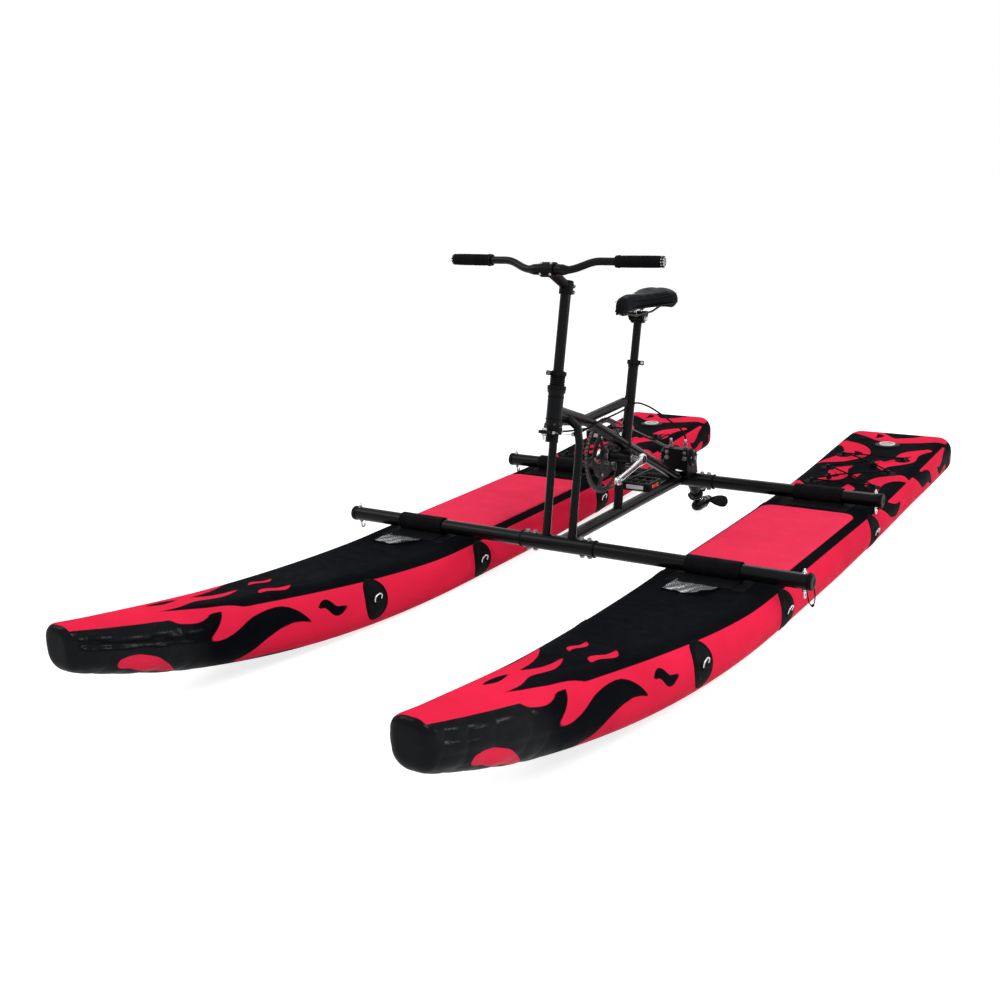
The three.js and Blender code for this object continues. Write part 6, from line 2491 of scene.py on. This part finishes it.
        frame_outline = rounded_box(96, 90, 11, 7)
        rows = []
        inner = rounded_box(76, 68, 7, 7)
        for points, z in (
            (frame_outline, -10), (frame_outline, 10), (frame_outline * 0.985, 12.2), (inner * 1.03, 12.2),
            (inner, 10), (inner, -10), (inner * 1.03, -12.2), (frame_outline * 0.985, -12.2),
        ):
            rows.append(coords(*points.T, z))
        ring = skin(np.stack(rows), wrap_rows=True, caps=False).moved((48, 0, 0))
        barrel = lathe(
            [(5.6, 2), (11.5, 2), (12.3, 3), (12.3, 93), (11.5, 94), (5.6, 94)], (0, 0, 0), ACROSS, 40,
            closed=True,
        )
        ribs = [
            slab(rounded_box(7, 70, 2.5, 4), -9.5, 9.5, 1.2, (x, 0, 0), ACROSS, AFT) for x in (22, 48, 74)
        ]
        teeth = lathe([(3.0, 11.5), (2.4, 13.0), (0, 13.2)], (0, 0, 0), UP, 8)
        spots = [(x, y * 40.0, 0) for y in (-1, 1) for x in np.arange(12, 90, 10.0)]
        upper = teeth.copies(np.array(spots))
        lower = upper.turned(ACROSS, math.pi)
        whole = ring + barrel + joined(ribs) + upper + lower
        if sign < 0:
            whole = whole.mirrored()
        place(whole.moved(end), f"{body}_platform", PLASTIC, body, "plastic", replaces=(body,))
        for name, finish, way in (("front", REFLECT_WHITE, -1), ("back", REFLECT_RED, 1)):
            lens = slab(
                rounded_box(58, 13, 2.5, 5), 0, 3.0, 1.0, spot(48, way * 43.4, 0), ACROSS, (0, 0, -way)
            )
            place(lens, f"{body}_lens_{name}", finish, body, "plastic")
            bezel = slab(
                rounded_box(66, 18, 4, 5), 0, 2.0, 0.8, spot(48, way * 42.6, 0), ACROSS, (0, 0, -way)
            )
            place(bezel, f"{body}_bezel_{name}", PLASTIC, body, "plastic")
        lens = slab(
            rounded_box(46, 11, 2.5, 5), 0, 2.6, 1.0, spot(93.6, 0, 0), AFT if sign > 0 else (0, -1, 0), UP
        )
        place(lens, f"{body}_lens_end", REFLECT_RED, body, "plastic")

    def chainring(self) -> None:
        """The toothed chainring on the five arms of its spider, with bright bolts."""
        foot = BRACKET - [CHAIN_LINE, 0, 0]
        ring = toothed(
            self.front_teeth, self.ring_root, self.ring_tip, self.ring_inner, 1.7,
            math.pi / self.front_teeth + CRANK_DROP,
        )
        inner = lathe(
            [
                (55.6, -1.7), (78.4, -1.7), (78.9, -1.2), (78.9, 1.2), (78.4, 1.7), (55.6, 1.7),
                (55.1, 1.2), (55.1, -1.2),
            ],
            (0, 0, 0), ACROSS, 120, closed=True,
        )
        strut = [(76, 15), (82, 12.5), (94, 11.5), (104, 13), (110, 18)]
        leg = [(14, 13), (26, 10), (42, 7.5), (56, 8.5), (66, 8.4), (72, 5)]
        struts, spider, bolts = [], [], []
        for u in spokes(5, 36):
            v = np.cross(ACROSS, u)
            struts.append(slab(both_sides(strut), -1.3, 1.3, 0.5, (0, 0, 0), u, v))
            spider.append(slab(both_sides(leg, 74.5), -3.4, 3.0, 1.2, (0, 0, 0), u, v))
            for x in (-2.6, 2.4):
                bolts.append(
                    cap_screw(foot + self.bolt_circle * u + [x, 0, 0], (math.copysign(1, x), 0, 0), 11, 2.0)
                )
        place(
            (ring + inner + joined(struts)).moved(foot), "chainring_plate", DARK_STEEL, "crankset",
            "cast_alloy", replaces=("chainring",),
        )
        hub = tube((-3.6, 0, 0), (3.2, 0, 0), 56, bore=18, chamfer=1, sides=72)
        place((joined(spider) + hub).moved(foot), "spider", DARK_STEEL, "crankset", "cast_alloy")
        place(joined(bolts), "chainring_bolts", STEEL, "crankset", "steel")

    def sprocket(self) -> None:
        """The rear sprocket on its splined hub."""
        foot = SHAFT - [CHAIN_LINE, 0, 0]
        ring = toothed(
            self.rear_teeth, self.rear_radius - 3.9, self.rear_radius + 3.0, 13.6, 1.6,
            math.pi / self.rear_teeth, 12,
        )
        hub = tube((1.4, 0, 0), (15.6, 0, 0), 28, bore=15.8, chamfer=0.8, sides=56)
        nut = tube((-4.8, 0, 0), (-1.4, 0, 0), 24, bore=15.8, chamfer=0.6, sides=48)
        place(
            (ring + hub + nut).moved(foot), "freewheel", CHAIN_STEEL, "cross_shaft", "steel",
            replaces=("rear_sprocket",),
        )

    def chain(self) -> None:
        """A roller chain along both pitch circles and the runs between them, link by link."""
        delta = (SHAFT - BRACKET)[1:]
        distance = float(np.hypot(*delta))
        way = math.atan2(delta[1], delta[0])
        opening = math.acos((self.front_radius - self.rear_radius) / distance)

        def arc(centre: Array, radius: float, start: float, stop: float) -> Array:
            """Points of an arc in the plane across X."""
            a = np.linspace(start, stop, 400)
            return coords(centre[1] + radius * np.cos(a), centre[2] + radius * np.sin(a))

        loop = np.vstack([
            arc(BRACKET, self.front_radius, way + opening, way + TAU - opening),
            arc(SHAFT, self.rear_radius, way - opening, way + opening),
        ])
        loop = np.vstack([loop, loop[:1]])
        run = np.concatenate([[0], np.cumsum(np.linalg.norm(np.diff(loop, axis=0), axis=1))])
        links = 2 * round(run[-1] / PITCH / 2)
        at = np.arange(links + 1) * run[-1] / links
        pins = coords(np.interp(at, run, loop[:, 0]), np.interp(at, run, loop[:, 1]))
        middle = (pins[1:] + pins[:-1]) / 2
        tangent = pins[1:] - pins[:-1]
        origins = coords(-CHAIN_LINE, *middle.T)
        ways = frames(coords(0, *tangent.T), ACROSS)
        t = np.linspace(-1, 1, 15)
        waist = 4.1 - 1.1 * np.cos(np.clip(t, -0.5, 0.5) * math.pi)
        x = t * 6.35
        bow = np.linspace(math.pi / 2, -math.pi / 2, 9)[1:-1]
        upper = coords(x, waist)
        cap = coords(6.35 + 4.1 * np.cos(bow), 4.1 * np.sin(bow))
        plate = np.vstack([upper, cap, -upper, -cap])

        def link(gap: float) -> Shell:
            """Both plates of one link at a distance from the chain's middle."""
            sides = [slab(plate, z - 0.45, z + 0.45, 0.2, (0, 0, 0), ACROSS, AFT) for z in (gap, -gap)]
            return sides[0] + sides[1]

        outer, inner = link(2.75), link(1.75)
        roller = lathe([(0, -1.3), (3.9, -1.3), (3.9, 1.3), (0, 1.3)], (6.35, 0, 0), UP, 16)
        pin = lathe(
            [(0, -3.5), (1.6, -3.5), (1.8, -3.2), (1.8, 3.2), (1.6, 3.5), (0, 3.5)], (6.35, 0, 0), UP, 12
        )
        even, odd = np.arange(0, links, 2), np.arange(1, links, 2)
        whole = outer.copies(origins[even], ways[even]) + inner.copies(origins[odd], ways[odd])
        whole = whole + (roller + pin).copies(origins, ways)
        place(whole, "chain_links", CHAIN_STEEL, "frame", "chain_steel", replaces=("chain",), merge=False)

    def housing(self) -> None:
        """Bearing covers, their screws, cable barrels and the bright adjusters on the shelf."""
        covers, screws = [], []
        for _, sign in SIDES:
            foot = SHAFT + [sign * 46, 0, 0]
            cover = [(9, 0), (29, 0), (30, 1.2), (29.2, 3.6), (24, 4.6), (15, 4.6), (13.6, 6.6), (9, 6.6)]
            covers.append(lathe(cover, foot, (sign, 0, 0), 64, closed=True))
            for u in spokes(5, 20):
                screws.append(cap_screw(foot + 24.96 * u + [sign * 4.2, 0, 0], (sign, 0, 0), 6.6, 3.0))
        place(joined(covers), "bearing_covers", CAST_BLACK, "frame", "cast_alloy")
        for _, sign in SIDES:
            foot = point(sign * 28, 853, 300)
            screws.append(hexagon(foot + [0, 0, 0.2], UP, 13.6, 4.6))
            screws.append(hexagon(foot + [0, 0, 15], UP, 12.6, 3.2))
            knurl = (5.9 + 0.4 * (np.arange(40) % 2))[:, None] * circle(1, 40)
            rows = [coords(*knurl.T, z) for z in (7, 13)]
            screws.append(skin(np.stack(rows) + foot))
        for x in (-34.0, 34.0):
            screws.append(hex_bolt((x, SHAFT[1] - 45.2, SHAFT[2] + 6), (0, -1, 0), 13, 5.6, 17))
            screws.append(hex_bolt((x, SHAFT[1] - 45.2, SHAFT[2] + 26), (0, -1, 0), 10, 4.4, 14))
        place(joined(screws), "housing_bolts", GREY_STEEL, "frame", "steel")


# Propeller leg: the yoke, the sleeve, the tube and the propeller.


@dataclass
class PropellerLeg:
    """The yoke, steering sleeve, telescopic tube with its gear pod, and the propeller."""

    clamp_down: float = 216.0
    clamp_back: float = 25.0

    def build(self) -> None:
        """Dresses the kept parts and makes the rest."""
        dress("leg_yoke", CAST_BLACK, 1.0)
        dress("leg_sleeve", BLACK_ALLOY, 0.7)
        dress("leg_tube", BLACK_ALLOY, 0.6)
        dress("leg_shaft", GREY_STEEL, 0.3)
        self.sleeve_parts()
        self.pod_parts()
        self.propeller()

    def sleeve_parts(self) -> None:
        """The drum's rims and cable pins, and the depth clamp with its knob."""
        down = LEG.way(0, 0, -1)
        rims = [
            lathe(
                [(27, z - 0.8), (29.2, z - 0.8), (29.6, z), (29.2, z + 0.8), (27, z + 0.8)], LEG.foot, down,
                64,
            )
            for z in (35.4, 42.4)
        ]
        clamp = lathe(
            [(18.2, 206), (22.6, 206), (23.2, 207), (23.2, 225), (22.4, 226), (18.2, 226)], LEG.foot, down,
            56, closed=True,
        )
        ears = tube(
            LEG.at(-9, self.clamp_back, -self.clamp_down), LEG.at(9, self.clamp_back, -self.clamp_down), 13,
            chamfer=1.4, sides=32,
        )
        place(joined(rims) + clamp + ears, "leg_clamp", CAST_BLACK, "leg_sleeve", "cast_alloy")
        knob_r = 12.5 + 1.3 * np.cos(np.arange(72) * TAU / 72 * 6)
        ring = circle(1, 72) * knob_r[:, None]
        rows = []
        for x, k in ((12, 0.86), (13, 0.97), (15, 1.0), (22, 1.0), (24, 0.95), (25, 0.8)):
            rows.append(coords(x, ring[:, 0] * k, ring[:, 1] * k))
        knob = LEG.put(skin(np.stack(rows)).moved((0, self.clamp_back, -self.clamp_down)))
        place(knob, "depth_knob", PLASTIC, "leg_sleeve", "plastic")
        pins = [cap_screw(LEG.at(-10, self.clamp_back, -self.clamp_down), (-1, 0, 0), 9, 4)]
        pins += [
            cap_screw(LEG.at(sign * 9, -26.4, -DRUM_DOWN), LEG.way(sign * 0.32, -0.95, 0), 8, 3)
            for _, sign in SIDES
        ]
        place(joined(pins), "leg_pins", STEEL, "leg_sleeve", "steel")

    def pod_parts(self) -> None:
        """Screws, seams and an anode ring on the gear pod, and the tube's depth marks."""
        y, z = POD[1:]
        rings = [
            lathe([(21.9, a), (22.7, a + 0.5), (22.7, a + 2.0), (21.9, a + 2.5)], (0, y, z), AFT, 64)
            for a in (-20, 14)
        ]
        place(joined(rings), "pod_seams", CAST_BLACK, "leg_tube", "cast_alloy")
        anode = lathe(
            [(14.0, 40), (18.6, 40), (18.2, 45), (15.2, 49), (14.0, 49)], (0, y, z), AFT, 56, closed=True
        )
        screws = []
        for k in range(4):
            a = math.radians(45 + 90 * k)
            screws.append(
                cap_screw(
                    (21.6 * math.cos(a), y + 6, z + 21.6 * math.sin(a)), (math.cos(a), 0, math.sin(a)), 6,
                    2.2,
                )
            )
        place(anode + joined(screws), "pod_metal", STEEL, "leg_tube", "steel")
        marks = [
            lathe(
                [(15.95, a), (16.35, a + 0.3), (16.35, a + 0.9), (15.95, a + 1.2)], LEG.foot,
                LEG.way(0, 0, -1), 48,
            )
            for a in (236, 246)
        ]
        place(joined(marks), "depth_marks", STEEL, "leg_tube", "steel")

    def propeller(self) -> None:
        """A two-bladed propeller with twisted blades of foil section on a rounded hub."""
        foot = POD
        hub = lathe(
            [(0, 50.4), (13.4, 50.4), (14, 51), (14, 70), (13.2, 74), (10, 78), (5.5, 80), (0, 80.3)], foot,
            AFT, 56,
        )
        r = np.linspace(8, 82, 34)
        share = (r - 8) / 74
        chord = np.interp(r, [8, 16, 35, 55, 70, 77, 80.5, 82], [20, 26, 40, 46, 41, 30, 16, 3])
        pitch = np.radians(np.interp(r, [8, 30, 82], [50, 38, 27]))
        thick = np.interp(r, [8, 30, 82], [6.4, 4.2, 1.6])
        a = np.arange(36) * TAU / 36
        along, high = np.cos(a) / 2, np.sin(a) / 2 * (1 - 0.35 * np.cos(a))
        camber = 0.06 * (1 - (2 * along) ** 2)
        u = chord[:, None] * along[None]
        w = thick[:, None] * high[None] + chord[:, None] * camber[None] * 0.6
        sweep_back = 4 * share[:, None] ** 2
        y = 64 + (u - sweep_back) * np.sin(pitch)[:, None] + w * np.cos(pitch)[:, None]
        z = (u - sweep_back) * np.cos(pitch)[:, None] - w * np.sin(pitch)[:, None]
        blade = skin(coords(np.broadcast_to(r[:, None], y.shape), y, z))
        both = blade + blade.turned(AFT, math.pi)
        place(
            hub + both.moved(foot), "screw", CAST_BLACK, "propeller", "cast_alloy", replaces=("propeller",)
        )
        nut = lathe([(0, 79.5), (4.6, 79.5), (4.6, 83), (0, 84)], foot, AFT, 6)
        place(nut, "screw_nut", STEEL, "propeller", "steel")


# Cables: the steering cables.


@dataclass
class Cables:
    """The two steering cables and their inner wires down to the steering drum."""

    left: tuple = (
        (27, 71.3, 513), (27, 86, 512), (24, 113, 510), (21.5, 165, 512), (21, 227, 518), (21, 310, 520),
        (21, 390, 524), (21.5, 447, 533), (22, 500, 528), (23, 570, 504), (25, 650, 466), (27, 740, 418),
        (28, 812, 379), (28, 846, 349), (28, 853, 331), (28, 853, 320.6),
    )
    right: tuple = (
        (-27, 71.3, 513), (-27, 86, 512), (-25, 130, 505), (-23, 220, 494), (-22, 330, 476),
        (-21.5, 452, 451), (-22, 560, 414), (-24, 670, 369), (-26, 745, 351), (-27.5, 805, 352),
        (-28, 840, 347), (-28, 853, 333), (-28, 853, 320.6),
    )
    thickness: float = 6.0

    def build(self) -> None:
        """Makes the cables, their end sleeves and the wires below the barrels."""
        for side, sign in SIDES:
            route = np.array(self.left if sign > 0 else self.right, float) + [0, FRONT_BAR_Y, 0]
            path = smooth_path(route, 220)
            place(
                wire(path, self.thickness, up=(1, 0, 0.01), sides=14), f"cable_{side}", RUBBER, "frame",
                "plastic", replaces=(f"steering_cable_{side}",),
            )
            ends = []
            for spot, way in ((path[0], path[4] - path[0]), (path[-1], path[-5] - path[-1])):
                ends.append(
                    lathe(
                        [(0, -0.5), (3.9, -0.5), (4.2, 0), (4.2, 12), (3.6, 13), (3.1, 13.4)], spot, way, 28
                    )
                )
            place(joined(ends), f"ferrules_{side}", STEEL, "frame", "steel")
            top = point(sign * 28, 853, 296)
            drum = LEG.at(sign * 27.4, -6, -DRUM_DOWN)
            run = line(top, drum, 36)
            inner = place(wire(run, 2.0, up=ACROSS, sides=8), f"drum_wire_{side}", STEEL, "", "steel")
            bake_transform(inner)


# Studio: camera, surround, lamps and floor.


@dataclass(frozen=True)
class CameraPlace:
    """The photograph's point of view, found from the object's known lengths."""

    azimuth: float = 33.552
    elevation: float = 15.3448
    roll: float = -2.2388
    spot: Triple = (1.84519, -3.31565, 1.3149)
    lens: float = 44.549

    def build(self) -> None:
        """Makes the camera and sets it as the scene's."""
        a, e, r = (math.radians(v) for v in (self.azimuth, self.elevation, self.roll))
        back = np.array([math.sin(a) * math.cos(e), -math.cos(a) * math.cos(e), math.sin(e)])
        right = np.array([math.cos(a), math.sin(a), 0.0])
        up = np.cross(back, right)
        across = math.cos(r) * right + math.sin(r) * up
        upward = -math.sin(r) * right + math.cos(r) * up
        data = bpy.data.cameras.new("camera")
        data.lens, data.sensor_width, data.sensor_fit = self.lens, 36.0, "HORIZONTAL"
        data.clip_end = 200.0
        camera = bpy.data.objects.new("camera", data)
        matrix = Matrix.Identity(4)
        for column, axis in enumerate((across, upward, back, np.array(self.spot))):
            for row in range(3):
                matrix[row][column] = float(axis[row])
        camera.matrix_world = matrix
        bpy.context.scene.collection.objects.link(camera)
        bpy.context.scene.camera = camera


@dataclass(frozen=True)
class Studio:
    """A pale floor, an even pale surround and soft lamps."""

    surround: float = 0.42
    floor_half: float = 45.0

    def build(self) -> None:
        """Makes the world, the lamps and the floor."""
        bpy.context.scene.view_settings.view_transform = "Standard"
        world = bpy.data.worlds.new("surround")
        bpy.context.scene.world = world
        world.use_nodes = True
        tree = world.node_tree
        light = tree.nodes["Background"]
        light.inputs["Color"].default_value = (self.surround, self.surround, self.surround * 1.01, 1)
        seen = tree.nodes.new("ShaderNodeBackground")
        seen.inputs["Color"].default_value = (1, 1, 1, 1)
        self.part_rays(tree, light, seen, tree.nodes["World Output"])
        self.lamp("key", (4.0, -3.2, 4.8), 2.4, 165)
        self.lamp("fill", (-3.6, -2.6, 4.4), 3.0, 85)
        self.lamp("back", (-0.5, 4.4, 4.2), 3.0, 60)
        self.lamp("low", (5.4, 2.0, 1.3), 0.7, 30)
        self.lamp("glint", (3.6, 0.3, 4.2), 0.36, 34)
        self.floor()

    @staticmethod
    def part_rays(
        tree: bpy.types.NodeTree,
        usual: bpy.types.Node,
        seen: bpy.types.Node,
        output: bpy.types.Node,
    ) -> None:
        """Gives the output one shader for rays that show it and another for the rest.

        Args:
            tree: The tree that holds the nodes.
            usual: The shader for rays that carry light about.
            seen: The shader for rays from the camera and for those in metal and glass.
            output: The output that the mix goes to.
        """
        path = tree.nodes.new("ShaderNodeLightPath")
        shows = path.outputs["Is Camera Ray"]
        for kind in ("Is Glossy Ray", "Is Transmission Ray"):
            either = tree.nodes.new("ShaderNodeMath")
            either.operation = "MAXIMUM"
            tree.links.new(shows, either.inputs[0])
            tree.links.new(path.outputs[kind], either.inputs[1])
            shows = either.outputs[0]
        mix = tree.nodes.new("ShaderNodeMixShader")
        for source, socket in zip((shows, usual.outputs[0], seen.outputs[0]), mix.inputs):
            tree.links.new(source, socket)
        tree.links.new(mix.outputs[0], output.inputs["Surface"])

    @staticmethod
    def lamp(name: str, spot: Triple, size: float, power: float) -> None:
        """A large soft lamp that looks at the middle of the boat.

        Args:
            name: The lamp's name.
            spot: Its place in metres.
            size: Its diameter in metres.
            power: Its power in watts.
        """
        data = bpy.data.lights.new(name, "AREA")
        data.shape, data.size, data.energy = "DISK", size, power
        lamp = bpy.data.objects.new(name, data)
        lamp.location = spot
        lamp.rotation_euler = (Vector((0, 0, 0.3)) - Vector(spot)).to_track_quat("-Z", "Y").to_euler()
        lamp.visible_camera = False
        bpy.context.scene.collection.objects.link(lamp)

    def floor(self) -> None:
        """The floor: white where light reaches it, with the boat's soft shadow kept."""
        h = self.floor_half
        mesh = bpy.data.meshes.new("floor")
        mesh.from_pydata([(-h, -h, 0), (h, -h, 0), (h, h, 0), (-h, h, 0)], [], [(0, 1, 2, 3)])
        thing = bpy.data.objects.new("floor", mesh)
        bpy.context.scene.collection.objects.link(thing)
        material = bpy.data.materials.new("floor_white")
        nodes = Wiring(material)
        nodes.surface(Base_Color=(0.6, 0.6, 0.6, 1), Roughness=0.9, Specular_IOR_Level=0.0)
        glow = nodes.add("ShaderNodeEmission", Color=(0.78, 0.78, 0.78, 1))
        both = nodes.add("ShaderNodeAddShader")
        for socket, source in zip(both.inputs, (nodes.shader, glow)):
            nodes.connect(socket, source.outputs[0])
        self.part_rays(nodes.tree, nodes.shader, both, nodes.tree.nodes["Material Output"])
        mesh.materials.append(material)


def main() -> None:
    """Builds the scene from its sub-assemblies."""
    logging.basicConfig(level=logging.INFO, format="%(message)s")
    CameraPlace().build()
    Studio().build()
    for side, sign in SIDES:
        Pontoon(side, sign).build()
    CrossBars().build()
    MainFrame().build()
    Steering().build()
    Seat().build()
    Drive().build()
    PropellerLeg().build()
    Cables().build()


if __name__ == "__main__":
    main()
